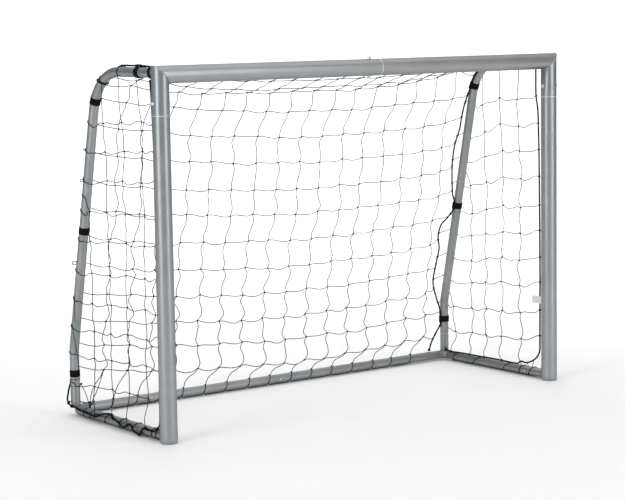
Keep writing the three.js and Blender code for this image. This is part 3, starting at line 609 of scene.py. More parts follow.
def corner_weld(name, side):
    """The rippled bead between a corner post and the bar below it."""
    angles = turn_angles(60)
    path = circle(at(side, REAR_Y, GROUND_Z), X_DIR, Y_DIR, TUBE_R, angles)
    drop = 0.9 * TUBE_R * np.minimum(abs(np.cos(angles)), abs(np.sin(angles)))
    path[:, 2] += np.sqrt(TUBE_R ** 2 - drop ** 2) + 0.0002
    bead = hoop(path, 0.0012 + 0.0002 * np.sin(26 * angles))
    Shape(bead).piece(f"corner_weld_{name}", SHADED_REAR_PAINT)


for name, side in SIDES:
    seam = at(side, slope_y(SLOPE_SEAM_Z), SLOPE_SEAM_Z)
    low_seam = at(side, REAR_Y, STUB_SEAM_Z)
    top_side_tube(name, side, seam)
    edges = Shape(end_edge(seam, SLOPE_UP, TUBE_R, REAR_BEAD_R))
    edges.add(end_edge(low_seam, Z_DIR, TUBE_R, REAR_BEAD_R))
    edges.piece(f"rear_tube_edges_{name}", STEEL)
    low_slope_tube(name, side, seam, low_seam)
    corner_post(name, side, low_seam)
    ground_bar(name, side)
    corner_weld(name, side)


# ---- snap buttons ----
def snap_button(name, centre, out, along, node, body):
    """A round-tipped button on a leaf spring, standing 3.5 mm out of its hole at rest."""
    length = TUBE_R + 0.0035 - BUTTON_ROOT
    rounding = 0.0024
    profile = [(0, 0), (BUTTON_R, 0), (BUTTON_R, length - rounding)]
    profile += arc_points((BUTTON_R - rounding, length - rounding), rounding, 0.2, pi / 2, 7)
    profile.append((0, length))
    shape = Shape(turned(profile, 32, centre + out * BUTTON_ROOT, out))
    half_width = 0.0045 * np.cross(along, out)
    low, high = 0.007, 0.0081
    corners = ((LEAF_START, low), (LEAF_END, low), (LEAF_END, high), (LEAF_START, high))
    leaf = [centre + along * u + out * w + s * half_width for u, w in corners for s in (-1, 1)]
    faces = [(0, 1, 3, 2), (2, 3, 5, 4), (4, 5, 7, 6), (6, 7, 1, 0), (0, 2, 4, 6), (1, 7, 5, 3)]
    shape.add((leaf, faces)).piece(name, STEEL, [node], body)


for name, side in SIDES:
    snap_button(f"snap_button_{name}", at(side, SIDE_BUTTON_Y, GROUND_Z), -X_DIR, -Y_DIR,
                f"side_button_{name}", f"{name}_button")
snap_button("snap_button_rear", REAR_BUTTON_AT, -Y_DIR, -X_DIR, "rear_button", "middle_button")


# ---- ropes ----
ROPE_STEP = 0.0022


def braid(path, radius=ROPE_R, sides=12):
    """A round braid: two sets of strands crossing each other give the diamond relief."""
    lay = 0.0125
    lengths = np.concatenate([[0], np.cumsum(np.linalg.norm(np.diff(path, axis=0), axis=1))])
    angles = 3 * turn_angles(sides)[None]
    wave = (2 * pi * lengths / lay)[:, None]
    radii = radius * (0.88 + 0.20 * np.abs(np.cos(angles + wave) * np.cos(angles - wave)))
    radii[[0, -1]] *= 0.75
    return solid_tube(path, radii, sides)


def knot_ball(centre, radius, axis, squeeze, seed):
    """A small overhand knot: a ball with the lumps of its turns."""
    axis = unit(axis)
    side, third = across(axis, [0.3, 0.9, 0.21])
    rows, cols = 6, 10
    verts, faces = [centre + axis * radius * squeeze], []
    for i in range(1, rows):
        polar = pi * i / rows
        for k in range(cols):
            a = 2 * pi * k / cols
            lump = 1 + 0.16 * sin(2 * a + 3 * polar + seed) + 0.08 * cos(3 * a - 2 * polar)
            verts.append(centre + radius * lump * (axis * squeeze * cos(polar)
                         + (side * cos(a) + third * sin(a)) * sin(polar)))
    verts.append(centre - axis * radius * squeeze)
    last = 1 + (rows - 2) * cols
    for k in range(cols):
        n = (k + 1) % cols
        faces += [(0, 1 + k, 1 + n), (len(verts) - 1, last + n, last + k)]
        for a in range(1, last, cols):
            faces.append((a + k, a + cols + k, a + cols + n, a + n))
    return verts, faces


def from_front(mm):
    """Y at a distance behind the front tubes' axes, given in millimetres."""
    return FRONT_Y + mm / 1000


def at_mm(points):
    """Places given as X, distance behind the front tubes' axes, and Z, in millimetres."""
    return [vec(x / 1000, from_front(y), z / 1000) for x, y, z in points]


def behind_slope(side, z, extra):
    back = SLOPE_BACK if z > LOW_BEND_Z else Y_DIR
    return at(side, slope_y(z), z) + back * (ROPE_OFFSET + extra)


def at_top_bend(side, above_level, outwards=0.0, in_x=0.0):
    """A point on the bend of the top side tube, at an angle in degrees, moved outwards and towards +X."""
    a = radians(above_level)
    r = TOP_BEND_R + outwards
    return at(side, TOP_BEND_CENTRE[0] + r * cos(a), TOP_BEND_CENTRE[1] + r * sin(a)) + in_x * X_DIR


def outside_bend(side, above_level):
    return at_top_bend(side, above_level, ROPE_OFFSET)


def inside_bend(side, above_level):
    return at_top_bend(side, above_level, 0, -side * ROPE_OFFSET)


def rear_tube_at(side, z):
    """The rear tube's axis point and its lean from upright at a height, bend included."""
    sine = (z - TOP_BEND_CENTRE[1]) / TOP_BEND_R
    if sine <= sin(SLOPE):
        return at(side, slope_y(z), z), SLOPE
    lean = asin(sine)
    return at_top_bend(side, degrees(lean)), lean


def over_ground_bar(side, route, extra=0.0):
    """Places at a ground bar's left, from distances along it in mm and degrees above level."""
    r = GROUND_ROPE_OFFSET + extra
    turns = [(from_front(mm), radians(above_level)) for mm, above_level in route]
    return [at(side, y, GROUND_Z) + [-r * cos(a), 0, r * sin(a)] for y, a in turns]


# the routes of the five border ropes, as seen in the photo
TOP_ROPE_Z = TOP_Z + ROPE_OFFSET
ROPE_X = POST_X - ROPE_OFFSET
STRAP_EDGES = (STRAP_TOP_Y - 0.016, STRAP_TOP_Y + 0.016)
LEFT_REAR = at_mm([(-854, 64, 1251), (-861, 86, 1256)])
LEFT_REAR += [at(-1, y, TOP_ROPE_Z) for y in (*STRAP_EDGES, from_front(190))]
LEFT_REAR += [vec(-POST_X + 0.002, from_front(228), TOP_ROPE_Z), at_top_bend(-1, 82, 0.016, 0.016)]
LEFT_REAR += [inside_bend(-1, 69), inside_bend(-1, 58), at_top_bend(-1, 45, 0.016, 0.016)]
LEFT_REAR += [outside_bend(-1, d) for d in (32, 25, 18)]
LEFT_REAR += [behind_slope(-1, z, e) for z, e in (
    (1.000, 0.001), (0.860, 0.002), (0.760, 0.001), (0.697, 0), (0.675, 0), (0.653, 0), (0.560, 0.002),
    (0.400, 0.002), (0.250, 0.001), (0.174, 0), (0.152, 0), (0.130, 0))]
LEFT_REAR += at_mm([(-878, 645, 112), (-890, 635, 96), (-896, 633, 76), (-896, 638, 58), (-895, 633, 45)])
RIGHT_REAR = [vec(ROPE_X, y, TOP_Z) for y in (from_front(62), *STRAP_EDGES)]
RIGHT_REAR.append(vec(ROPE_X - 0.001, from_front(215), TOP_Z))
RIGHT_REAR += [inside_bend(1, d) for d in (88, 66, 45, 31, 23.6, 16)]
RIGHT_BOW = [(834, 1058), (827, 1001), (826, 960), (812, 900), (810, 850), (815, 790), (833, 700),
             (847.8, 666), (847.8, 644), (847.8, 622), (824, 594), (796, 566), (789, 519), (803, 470),
             (799, 419), (795, 331), (823, 263), (844.8, 216), (847.8, 194), (847.8, 169), (847.8, 144)]
RIGHT_REAR += [vec(x / 1000, slope_y(z / 1000), z / 1000) for x, z in RIGHT_BOW]
RIGHT_REAR += at_mm([(826, 624, 116), (800, 624, 76), (786, 622, 47)])
LEFT_FRONT = at_mm([
    (-870, 63, 1213), (-870, 60, 1180), (-871, 54, 1120), (-870, 51, 1000), (-868, 51, 800), (-870, 50, 600),
    (-868, 51, 400), (-870, 51, 220), (-870, 52, 120), (-870, 53, 85), (-871, 52, 64), (-876, 49, 51),
    (-884, 50, 43)])
LEFT_FRONT += over_ground_bar(-1, [
    (58, 29), (74, 26), (97, 32), (121, 36), (134, 4), (146, -27), (168, -28), (187, -11), (202, 20),
    (217, 28), (233, 8), (250, -9), (286, 14), (324, 37), (352, 54), (380, 60), (404, 41), (428, 18),
    (452, 6), (501, 21), (554, 19), (584, 30)])
LEFT_FRONT += at_mm([(-895, 608, 37)])
RIGHT_FRONT = at_mm([
    (870, 71, 1213), (870, 71, 1160), (870, 70, 1098), (870, 60, 1040), (870, 56, 945), (870, 54, 860),
    (870, 51, 600), (870, 50, 400), (870, 51, 172), (869, 51, 110), (867, 62, 84), (864, 80, 67.5),
    (862, 105, 56), (860, 126, 52), (858, 146, 55)])
RIGHT_FRONT += over_ground_bar(1, [(166, 63), (196, 58), (280, 62), (383, 58), (485, 56), (560, 52)])
RIGHT_FRONT += at_mm([(853, 594, 46)])
CROSSBAR_ROPE = at_mm([(-846, 50, 1238), (-600, 47, 1230), (-200, 46, 1226), (200, 46, 1226), (600, 47, 1230),
                       (846, 50, 1238)])
ROPES = {
    "rear_rope_left": LEFT_REAR, "rear_rope_right": RIGHT_REAR, "front_rope_left": LEFT_FRONT,
    "front_rope_right": RIGHT_FRONT, "crossbar_rope": CROSSBAR_ROPE,
}
ROPE_PATHS = {name: smooth_path(points, ROPE_STEP) for name, points in ROPES.items()}
for name, path in ROPE_PATHS.items():
    Shape(braid(path)).piece(f"braid_{name}", ROPE, [name])


def nearest(points, misses):
    return points[np.argmin(misses)]


def on_rope(name, z):
    """The point of a rope at a height, on its long run down a post or a slope."""
    path = ROPE_PATHS[name]
    behind = path[:, 1] - FRONT_Y
    run = path[behind > 0.4] if name.startswith("rear") else path[behind < 0.078]
    return nearest(run, np.abs(run[:, 2] - z))


def collar(name, side):
    """A turn of rope round the top side tube, where the border ropes start."""
    angles = np.linspace(0.4, 0.4 + 2 * pi * 1.12, 78)
    first, second = across(Y_DIR, [0.2, 0.3, 0.93])
    ring = circle(at(side, from_front(43.5), TOP_Z), first, second, TUBE_R + ROPE_R + 0.0004, angles)
    ring[:, 1] += np.linspace(-0.004, 0.004, len(angles))
    Shape(braid(ring)).piece(f"rope_collar_{name}", ROPE)


def end_knots(name):
    knots = Shape(knot_ball(ROPE_PATHS[f"rear_rope_{name}"][-1], 0.0060, (0.3, 0.2, 1), 0.95, 1.0))
    knots.add(knot_ball(ROPE_PATHS[f"front_rope_{name}"][-1], 0.0060, (0, 1, 0.2), 1.05, 2.0))
    knots.piece(f"rope_end_knots_{name}", ROPE, sharp=60)


def left_turn():
    """One more turn of thinner rope round the left tube, on its upper bend."""
    path = []
    for t in np.linspace(-2.6, 2.6, 60):
        above_level = 54 - 4 * sin(t)
        phi = radians(above_level)
        radial = vec(0, cos(phi), sin(phi))
        path.append(at_top_bend(-1, above_level) + (TUBE_R + 0.0027) * (radial * sin(t) - X_DIR * cos(t)))
    Shape(braid(np.array(path), 0.0024)).piece("rope_turn_left", ROPE)


def left_tail():
    """Rope ends at the left: a splice, a second strand along the ground bar and a loose tail."""
    splice = [ROPE_PATHS["rear_rope_left"][-1], *at_mm([(-896, 622, 40)]), ROPE_PATHS["front_rope_left"][-1]]
    second = over_ground_bar(-1, [
        (70, 34), (95, 22), (118, 27), (132, -8), (148, -36), (170, -19), (189, -3), (204, 27),
        (219, 20), (236, 0), (252, 0), (288, 22), (326, 28), (354, 62), (384, 51), (408, 32), (430, 28),
        (456, 14), (503, 12), (556, 28), (598, 30)], 0.003)
    loose = at_mm([(-893, 640, 52), (-886, 648, 47), (-868, 651, 44), (-850, 645, 43), (-842, 632, 42),
                   (-838, 619, 41), (-827, 613, 40), (-818, 611, 40)])
    tail = Shape()
    for points, radius, sides in ((splice, ROPE_R, 12), (second, 0.0022, 8), (loose, 0.0019, 8)):
        tail.add(braid(smooth_path(points, ROPE_STEP), radius, sides))
    tail.add(knot_ball(loose[-1], 0.0034, X_DIR, 1.0, 0.5))
    tail.piece("rope_tail_left", ROPE, sharp=60)


for name, side in SIDES:
    collar(name, side)
    end_knots(name)
left_turn()
left_tail()


# ---- straps ----
STRAP_HEIGHTS = {"left": (1.135, 0.675, 0.152), "right": (1.131, 0.644, 0.169)}


def strap(place, centre, along, towards, flap):
    """A band of hook-and-loop tape round a tube and its rope, with the end lapped over the start."""
    along, towards = unit(along), unit(towards)
    sideways = np.cross(along, towards)
    thick, bevel, lap = 0.0012, 0.0003, 0.95
    w = STRAP_WIDTH / 2
    section = ((0, bevel - w), (bevel, -w), (thick - bevel, -w), (thick, bevel - w),
               (thick, w - bevel), (thick - bevel, w), (bevel, w), (0, w - bevel))
    round_tube, round_rope = TUBE_R + 0.0003, ROPE_R + 0.0006
    lean = acos((round_tube - round_rope) / ROPE_OFFSET)
    route = [(0.0, a, round_tube) for a in np.linspace(flap, 2 * pi - lean, 30)]
    route += [(ROPE_OFFSET, a, round_rope) for a in np.linspace(-lean, lean, 14)]
    route += [(0.0, a, round_tube) for a in np.linspace(lean, flap, 18)]
    first_lap = len(route)
    route += [(0.0, a, round_tube) for a in np.linspace(flap, flap + lap, 14)[1:]]
    rings = []
    for i, (offset, angle, radius) in enumerate(route):
        lift = np.clip((i - first_lap + 7) / 6.0, 0, 1) * (thick + 0.00015)
        out = towards * cos(angle) + sideways * sin(angle)
        base = centre + towards * offset + out * (radius + lift)
        rings.append([base + out * u + along * v for u, v in section])
    Shape(capped(np.array(rings))).piece(f"tape_{place}", STRAP, [f"strap_{place}"], sharp=50)


# the left rope lies over and behind its tube, the right one inside its tube
for name, side in SIDES:
    left = name == "left"
    strap(f"top_{name}", at(side, STRAP_TOP_Y, TOP_Z), Y_DIR, Z_DIR if left else -X_DIR, 2.4)
    high, mid, low = STRAP_HEIGHTS[name]
    for level, z in (("high", high), ("middle", mid)):
        centre, lean = rear_tube_at(side, z)
        along = vec(0, -sin(lean), cos(lean))
        towards = vec(0, cos(lean), sin(lean)) if left else -X_DIR
        strap(f"{level}_{name}", centre, along, towards, 2.0 + z)
    strap(f"low_{name}", at(side, REAR_Y, low), Z_DIR, Y_DIR if left else -X_DIR, 2.6)


# ---- net ----
COLUMNS = [(i - 7.5) * 0.1 for i in range(16)]
ROOF_ROWS = [(147, 1206), (247, 1184), (340, 1152), (408, 1136)]
BACK_ROWS = [1.058, 0.962, 0.864, 0.763, 0.666, 0.564, 0.461, 0.360, 0.260, 0.170, 0.078]
ROWS = len(ROOF_ROWS) + len(BACK_ROWS)
ROW_SHIFT = [0, 0, 0.004, 0.012, 0.023, -0.004, 0.002, 0.006, 0.014, 0.003, 0.005, 0.010, 0.014, 0.020, 0.011]
COLUMN_SWING = [0.002, 0.002, 0.002, -0.004, -0.005, 0.004, -0.006, 0.004, -0.006, 0.005, -0.007, 0.008,
                -0.010, 0.009, -0.008, 0.004]
COLUMN_SWAY = [0, 0, 0, 0.003, 0.004, -0.005, -0.004, 0.004, 0.005, 0.004, -0.004, 0.005, 0.007, -0.006,
               0.004, -0.006]
SIDE_COLUMNS = {"left": [0.127, 0.240, 0.352, 0.462], "right": [0.163, 0.271, 0.374, 0.463, 0.575]}
SIDE_ROWS = {"left": [1.070, 0.968, 0.864, 0.756, 0.652, 0.544, 0.440, 0.336, 0.236, 0.138],
             "right": [1.082, 0.979, 0.873, 0.769, 0.663, 0.560, 0.452, 0.350, 0.244, 0.142]}
LACE_SHIFT = -0.060
WRAP_R = TUBE_R + CORD_R + 0.0003


def jitter(reach):
    return RANDOM.uniform(-reach, reach)


def cord(shape, points, radius=CORD_R, step=0.009):
    shape.add(solid_tube(smooth_path(points, step), radius, 6))


def between(a, b, sideways, swing, sway):
    """Points that a slack cord passes between two knots: swing is an S, sway a bow."""
    along = unit(b - a)
    sideways = unit(sideways - along * (along @ sideways))
    out = np.cross(along, sideways)
    points = []
    for t in (0.22, 0.5, 0.78):
        off = swing * sin(2 * pi * t) + sway * sin(pi * t)
        points.append(a + (b - a) * t + sideways * off + out * jitter(0.0028))
    return points


def knotted(chain, sideways, swing, sway, spread):
    """A cord of the roof and back through a row of knots, with a swing and a sway for each gap."""
    points = [chain[0]]
    for i, (here, following) in enumerate(zip(chain, chain[1:])):
        s = swing[i] * (1 + jitter(spread)) + jitter(0.0012)
        w = sway[i] * (1 + jitter(spread)) + jitter(0.0012)
        points += [*between(here, following, sideways, s, w), following]
    cord(net, points)


def net_point(column, row):
    """A knot of the roof or back; rows hang higher towards the sides."""
    x = COLUMNS[column] + ROW_SHIFT[row] + jitter(0.004)
    if row < len(ROOF_ROWS):
        y, z = ROOF_ROWS[row]
        rise = (1240 - z) * min(abs(x) / POST_X, 1.0) ** 3 * (1.0 if row < 3 else 0.75)
        return vec(x, from_front(y), (z + rise) / 1000 + jitter(0.003))
    rise = 0.085 * ((x - 0.2) / 1.05) ** 2
    z = BACK_ROWS[row - len(ROOF_ROWS)] + rise + jitter(0.004)
    behind = 0.011 - 0.009 * x / POST_X
    return vec(x, slope_y(z) + behind + jitter(0.003), z)


def net_column(c, column):
    """A column of the roof and back, from the crossbar's rope down to the lacing on the rear bar."""
    rope = ROPE_PATHS["crossbar_rope"]
    start = nearest(rope, np.abs(rope[:, 0] - column[0][0]))
    foot = np.array([REAR_WRAPS[c], REAR_Y - 0.001, GROUND_Z + TUBE_R + LACE_R + 0.0012])
    hitch(start, X_DIR, c)
    knotted([start - 0.0045 * Z_DIR, *column, foot], X_DIR, COLUMN_SWING, COLUMN_SWAY, 0.4)
    hitches.add(knot_ball(foot, 0.0026, X_DIR, 1.1, c))
    for r, place in enumerate(column):
        knots.add(knot_ball(place, KNOT_R, (1, 0, 0.4), 1.15, c + 2.1 * r))


def net_row(r, row):
    """A row of the roof and back, from one rear rope to the other."""
    rises = {"left": 0.030, "right": 0.020 if r < 13 else 0.004}
    ends = []
    for (name, side), knot in zip(SIDES, (row[0], row[-1])):
        if r < len(ROOF_ROWS):
            rope, axis = ROPE_PATHS[f"rear_rope_{name}"], Y_DIR
            target = np.array([side * ROPE_X, row[0][1], TOP_Z - 0.03 * max(r - 1, 0)])
            end = nearest(rope, np.linalg.norm(rope - target, axis=1))
        else:
            end, axis = on_rope(f"rear_rope_{name}", knot[2] + rises[name]), SLOPE_UP
        hitch(end, axis, r)
        ends.append(end)
    gaps = len(row) + 1
    swing, sway = [0.0010 + 0.00012 * r] * gaps, [-0.0015 - 0.0004 * r] * gaps
    knotted([ends[0], *row, ends[1]], Z_DIR, swing, sway, 0.9)


def hitch(place, axis, seed):
    hitches.add(knot_ball(place, HITCH_R, axis, 0.9, seed))


REAR_WRAPS = [x + LACE_SHIFT + jitter(0.004) for x in COLUMNS]
GRID = [[net_point(c, r) for r in range(ROWS)] for c in range(len(COLUMNS))]
net, knots, hitches = Shape(), Shape(), Shape()
for c, column in enumerate(GRID):
    net_column(c, column)
for r in range(ROWS):
    net_row(r, [column[r] for column in GRID])
net.piece("net_back_and_roof_cords", CORD, ["net_roof", "net_back", "net_foot"], sharp=80)


def side_drop(name, column, row):
    """How much a side panel's knot hangs below its row's height."""
    if name == "left":
        return (-0.002, 0.0, 0.005, 0.010)[column]
    return (0.0, 0.0, 0.031 - 0.0028 * row, 0.068 - 0.0066 * row, 0.026 - 0.004 * (row - 7))[column]


def panel_point(side, y, z, shift):
    """A knot of a side panel, which spreads from the front rope out to the slope tube's outside."""
    start = 0.051
    reach = max(slope_y(z) - FRONT_Y - start, 0.1)
    along = min(max((y - start) / reach, 0), 1)
    return vec(side * (POST_X + 0.0165 * along ** 1.5 + shift), FRONT_Y + y, z)


def tube_crossing(name, side, z):
    """Where a side row goes round the outside of the slope tube; the right ones also turn in behind it."""
    centre, outward = at(side, slope_y(z), z), side * X_DIR
    back = SLOPE_BACK if z > LOW_BEND_Z else Y_DIR
    turns = circle(centre, outward, back, WRAP_R, (-0.6, 0.0, 0.6, 1.2))
    points = [place + SLOPE_UP * 0.004 * i for i, place in enumerate(turns)]
    if name == "right":
        points.append(circle(centre, -outward, back, WRAP_R + 0.001, [1.15])[0] + SLOPE_UP * 0.016)
    return points


def side_row(name, side, r, panel, grid):
    """A row of a side panel: from the front rope, through its knots, round the tube to the rear rope."""
    right = name == "right"
    z0 = SIDE_ROWS[name][r] + jitter(0.004)
    lift = 0.012 + 0.0016 * r if right else 0.004 + 0.012 * sin(2.3 * r + 4)
    start = on_rope(f"front_rope_{name}", z0 + lift)
    hitch(start, Z_DIR, r)
    chain = [start + 0.0042 * Y_DIR]
    for c, y in enumerate(SIDE_COLUMNS[name]):
        z = z0 - side_drop(name, c, r) + jitter(0.004)
        y += max(0.018 - 0.010 * r, 0) if right else 0
        if y > slope_y(z) - FRONT_Y - 0.040:
            break
        grid[(c, r)] = panel_point(side, y + jitter(0.005), z, jitter(0.004))
        chain.append(grid[(c, r)])
        knots.add(knot_ball(chain[-1], KNOT_R, (0, 1, 0.4), 1.15, c + 1.7 * r))
    slack_gaps = len(chain)
    z_tube = z0 - 0.015
    if right:
        z_tube = z0 - (0.035 if r == 0 else 0.066 - 0.006 * r)
    end = on_rope(f"rear_rope_{name}", z_tube + 0.012)
    hitch(end, SLOPE_UP, r + 3.0)
    chain += [*tube_crossing(name, side, z_tube), end]
    points = [chain[0]]
    for i, (here, following) in enumerate(zip(chain, chain[1:])):
        if i < slack_gaps:
            odd = (r + i) % 2
            swing = (0.0045 if odd else -0.0027) + jitter(0.002)
            points += between(here, following, Z_DIR, swing, jitter(0.002) - 0.0035 - 0.003 * odd)
        points.append(following)
    cord(panel, points, step=0.007)


def column_head(side, y, top):
    """The turn over the tube above a side column's top knot: on the level part, the bend or the slope."""
    outward = side * X_DIR
    behind_bend = top[1] + 0.006 - TOP_BEND_CENTRE[0]
    if behind_bend < 0:
        return circle(at(side, top[1] + 0.006, TOP_Z), outward, Z_DIR, WRAP_R, (1.2, 0.5, -0.1, -0.7))
    if y < 0.42:
        angle = acos(behind_bend / TOP_BEND_R)
        out = vec(0, cos(angle), sin(angle))
        return circle(at_top_bend(side, degrees(angle)), outward, out, WRAP_R, (1.2, 0.5, -0.1, -0.7))
    z = top[2] + 0.055
    return circle(at(side, slope_y(z), z), outward, SLOPE_BACK, WRAP_R, (1.1, 0.4, -0.3))


def side_column(name, side, c, panel, grid):
    """A column of a side panel, from a turn over the tube above it down to the front rope on the bar."""
    y = SIDE_COLUMNS[name][c]
    column = [grid[(c, r)] for r in range(len(SIDE_ROWS[name])) if (c, r) in grid]
    head = column_head(side, y, column[0])
    rope = ROPE_PATHS[f"front_rope_{name}"]
    low = rope[rope[:, 2] < 0.09]
    foot = nearest(low, np.abs(low[:, 1] - (FRONT_Y + y - 0.012)))
    hitch(foot, Y_DIR, c + 5.0)
    chain = [head[-1], *column, foot + 0.003 * Z_DIR]
    points = [*head]
    looseness = 0.35 if name == "left" else 0.9
    for i, (here, following) in enumerate(zip(chain, chain[1:])):
        down = i / (len(chain) - 2)
        swing = looseness * (0.002 + 0.007 * down) * (1 if i % 2 else -1) + jitter(0.002)
        sway = looseness * (0.002 + 0.006 * down) * (1 if (i + c) % 3 else -1) + jitter(0.002)
        points += [*between(here, following, Y_DIR, swing, sway), following]
    cord(panel, points, step=0.008)


for name, side in SIDES:
    panel, grid = Shape(), {}
    for r in range(len(SIDE_ROWS[name])):
        side_row(name, side, r, panel, grid)
    for c in range(len(SIDE_COLUMNS[name])):
        side_column(name, side, c, panel, grid)
    panel.piece(f"net_side_cords_{name}", CORD, [f"net_side_{name}"], sharp=80)
knots.piece("net_knots", CORD, sharp=80)
hitches.piece("net_hitches", CORD, sharp=80)


def slack_loops():
    """Slack ends that stand off the left slope tube, and strands gathered at the rear left corner."""
    loops = Shape()
    for z, r in ((0.961, 0.004), (0.852, 0.006), (0.555, 0.009)):
        centre = at(-1, slope_y(z), z) + [-TUBE_R - r * 0.75, 0.004, 0.004]
        angles = np.linspace(-0.3, 5.6, 16)
        cord(loops, [centre + [r * cos(a), 0.003 * sin(a / 2), 0.7 * r * sin(a)] for a in angles],
             step=0.003)
    corner, post_hitch, bar_end = at_mm([(-834, 588, 28), (-851.5, 614, 112), (-802, 611, 42)])
    for start, bow in ((GRID[0][-1], 0.004), (post_hitch, 0.002), (bar_end, 0.001)):
        cord(loops, [start, (start + corner) / 2 + [bow, -bow, bow], corner], step=0.006)
    loops.add(knot_ball(post_hitch, 0.0040, Z_DIR, 1.0, 1.5))
    loops.add(knot_ball(bar_end, 0.0034, X_DIR, 1.0, 2.5))
    loops.add(knot_ball(corner, 0.0040, X_DIR, 1.0, 3.5))
    loops.piece("net_slack_loops", CORD, sharp=80)


def on_left_tube(z, part):
    """A point on the left rear tube's front: part runs from -1 at its left edge to 1 at its right."""
    radial = part * vec(0.87, -0.49, 0) + sqrt(1 - part * part) * vec(-0.49, -0.87, 0)
    return at(-1, slope_y(z), z) + (TUBE_R + 0.0012) * radial


def tube_strands():
    """Thin strands that slant over the left slope tube, and turns round it below its low strap."""
    strands = Shape()
    for route in ([(0.436, -0.86), (0.405, -0.66), (0.372, -0.46), (0.338, -0.30)],
                  [(0.332, -0.80), (0.290, -0.30), (0.249, 0.33), (0.195, 0.72), (0.160, 0.80)]):
        cord(strands, [on_left_tube(z, part) for z, part in route], 0.0011, 0.006)
    # each turn starts and ends at the rope behind the tube
    angles = np.linspace(0.55, 2 * pi - 0.55, 30) + pi / 2
    for z, radius in ((0.131, 0.0009), (0.107, 0.0013)):
        turn = circle(at(-1, REAR_Y, z), X_DIR, Y_DIR, TUBE_R + radius + 0.0002, angles)
        cord(strands, turn, radius, 0.004)
    strands.piece("net_tube_strands", CORD, sharp=80)


slack_loops()
tube_strands()


# ---- lacing ----
SIDE_WRAPS = {"left": [0.053, 0.081, 0.187, 0.284, 0.380, 0.484, 0.532],
              "right": [0.081, 0.140, 0.212, 0.385, 0.532]}
SIDE_SLANTS = {"left": [-0.006, -0.006, -0.030, -0.020, -0.020, -0.020, -0.020],
               "right": [-0.027, -0.022, -0.054, -0.068, -0.030]}
REAR_SLANT = 0.030


def lacing(name, node, wraps, slants, bar, along, out):
    """Cord wound round a bar once at each mesh, then run along the underside to the next."""
    radius = TUBE_R + LACE_R + 0.0002
    above_ground = LACE_R + 0.0001 - GROUND_Z
    points = []
    for where, slant in zip(wraps, slants):
        for step in range(17):
            angle = 2 * pi * step / 16 - pi / 2
            place = bar + along * (where + slant * (min(step / 8, 1) - 1)) + out * radius * cos(angle)
            points.append(place + Z_DIR * max(radius * sin(angle), above_ground))
    cord_round = Shape(solid_tube(smooth_path(points, 0.004), LACE_R, 8))
    cord_round.piece(name, CORD, [node], sharp=80)


lacing("lacing_rear_bar", "rear_lacing", REAR_WRAPS, [REAR_SLANT] * len(COLUMNS),
       vec(0, REAR_Y, GROUND_Z), X_DIR, -Y_DIR)
for name, side in SIDES:
    wraps = [FRONT_Y + w for w in SIDE_WRAPS[name]]
    lacing(f"lacing_side_bar_{name}", f"side_lacing_{name}", wraps, SIDE_SLANTS[name],
           at(side, 0, GROUND_Z), Y_DIR, -X_DIR)

# ties from the lacing up to the rope near the right upright's foot
ties = Shape()
for route in ([(861, 86, 40), (862, 82, 52), (863, 78, 68)], [(858, 147, 36), (858, 146, 45), (858, 146, 54)],
              [(861, 108, 39), (862, 112, 47), (861, 118, 53)]):
    cord(ties, at_mm(route), LACE_R, 0.004)
ties.piece("lacing_ties_right", CORD, sharp=80)


# ---- blank tag on the net ----
def blank_tag():
    """A thin curled sheet of cloth, as two layers of points and a rim that joins them."""
    rows, cols, thickness = 3, 9, 0.0005
    size = LABEL_HIGH - LABEL_LOW
    verts, faces = [], []
    for layer in (0, 1):
        for i in range(cols):
            for k in range(rows):
                u, v = i / (cols - 1), k / (rows - 1)
                curl = 0.0022 * sin(u * 3.0) + 0.0008 * sin(v * 3.0 + u)
                x = LABEL_LOW.x + curl + layer * thickness - 0.001
                verts.append((x, LABEL_LOW.y + u * size.y, LABEL_LOW.z + v * size.z))
    half = rows * cols
    for i in range(cols - 1):
        for k in range(rows - 1):
            a = i * rows + k
            faces.append((a, a + 1, a + rows + 1, a + rows))
            faces.append((half + a, half + a + rows, half + a + rows + 1, half + a + 1))
    rim = [i * rows for i in range(cols)] + [(cols - 1) * rows + k for k in range(1, rows)]
    rim += [i * rows + rows - 1 for i in range(cols - 2, -1, -1)] + list(range(rows - 2, 0, -1))
    faces += [(half + a, half + b, b, a) for a, b in zip(rim, rim[1:] + rim[:1])]
    Shape((verts, faces)).piece("blank_tag", LABEL, ["net_label"])


blank_tag()

# ---- CAD nodes that stay as they are, inside the tubes ----
INNER_LOOKS = {"rear_clip": STEEL}
for name, _ in SIDES:
    INNER_LOOKS[f"top_spigot_{name}"] = INNER_LOOKS[f"foot_spigot_{name}"] = PAINT
    INNER_LOOKS[f"side_clip_{name}"] = STEEL
for node, look in INNER_LOOKS.items():
    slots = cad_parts[node].data.materials
    slots.clear()
    slots.append(look)


# ---- stage, light and camera ----
FLOOR_WHITE = (0.92, 0.92, 0.92)
BACKDROP_TURN = radians(-36.8)
KEY_TARGET = (0, 0, 0.75)
CAMERA_AT = (-4.28733, FRONT_Y - 5.45220, 1.40676)
SENSOR_WIDTH, LENS = 36.0, 112.38912
YAW, PITCH, ROLL = radians(36.4515), radians(6.7818), radians(-0.9095)


def pale_floor(tree, shader):
    tint(tree, shader, noise(tree, 3.0), FLOOR_WHITE, tuple(c * 1.01 for c in FLOOR_WHITE))


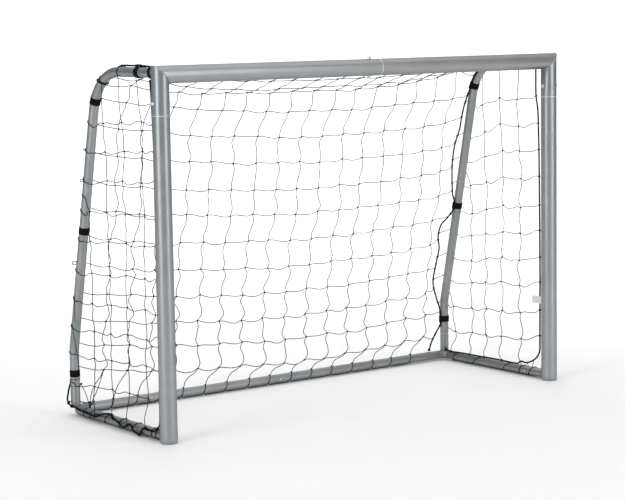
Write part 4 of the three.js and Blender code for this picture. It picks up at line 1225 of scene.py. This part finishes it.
def floor_and_wall():
    """A pale floor that curves up into a backdrop behind the goal."""
    bend, start, half_width = 3, 5, 14
    profile = [(-9, 0), (start, 0), *arc_points((start, bend), bend, 0.1 - pi / 2, 0, 12), (start + bend, 12)]
    turn = Matrix.Rotation(BACKDROP_TURN, 3, "Z")
    verts = [turn @ Vector((x, y, z)) for y, z in profile for x in (-half_width, half_width)]
    faces = [(2 * i, 2 * i + 1, 2 * i + 3, 2 * i + 2) for i in range(len(profile) - 1)]
    floor = mesh_object("floor", verts, faces)
    matt = {"Roughness": 0.9, "Specular IOR Level": 0.1}
    floor.data.materials.append(material("pale_floor", matt, pale_floor))
    floor.data.shade_smooth()


def area_light(name, place, target, size, power):
    data = bpy.data.lights.new(name, "AREA")
    data.shape = "RECTANGLE"
    data.size, data.size_y = size
    data.energy = power
    lamp = linked(name, data)
    lamp.location = place
    lamp.rotation_euler = (Vector(target) - Vector(place)).to_track_quat("-Z", "Y").to_euler()
    lamp.visible_camera = False


def soft_sky():
    world = bpy.data.worlds.new("studio")
    world.use_nodes = True
    background = world.node_tree.nodes["Background"]
    background.inputs["Color"].default_value = (0.96, 0.98, 1.0, 1)
    background.inputs["Strength"].default_value = 0.17
    bpy.context.scene.world = world
    bpy.context.scene.view_settings.view_transform = "Standard"


def photo_camera():
    """The camera that was fitted to the tube outlines in the photo."""
    forward = Vector((sin(YAW) * cos(PITCH), cos(YAW) * cos(PITCH), -sin(PITCH)))
    level = Vector((cos(YAW), -sin(YAW), 0))
    overhead = level.cross(forward)
    right = level * cos(ROLL) + overhead * sin(ROLL)
    up = overhead * cos(ROLL) - level * sin(ROLL)
    data = bpy.data.cameras.new("camera")
    camera = linked("camera", data)
    data.sensor_width, data.lens = SENSOR_WIDTH, LENS
    data.clip_start, data.clip_end = 0.1, 100
    camera.matrix_world = Matrix((right, up, -forward)).transposed().to_4x4()
    camera.location = CAMERA_AT
    bpy.context.scene.camera = camera


floor_and_wall()
area_light("key_left", (-6.45, -1.5, 2.5), KEY_TARGET, (2.7, 5.6), 176)
area_light("key_right", (1.9, -6.1, 2.6), KEY_TARGET, (2.5, 5.6), 164)
area_light("overhead", (0, 1.5, 7.0), (0, 1.5, 0), (12, 12), 520)
area_light("backdrop_wash", (2.0, 3.0, 5.5), (5.5, 7.5, 1.5), (8, 3), 260)
soft_sky()
photo_camera()
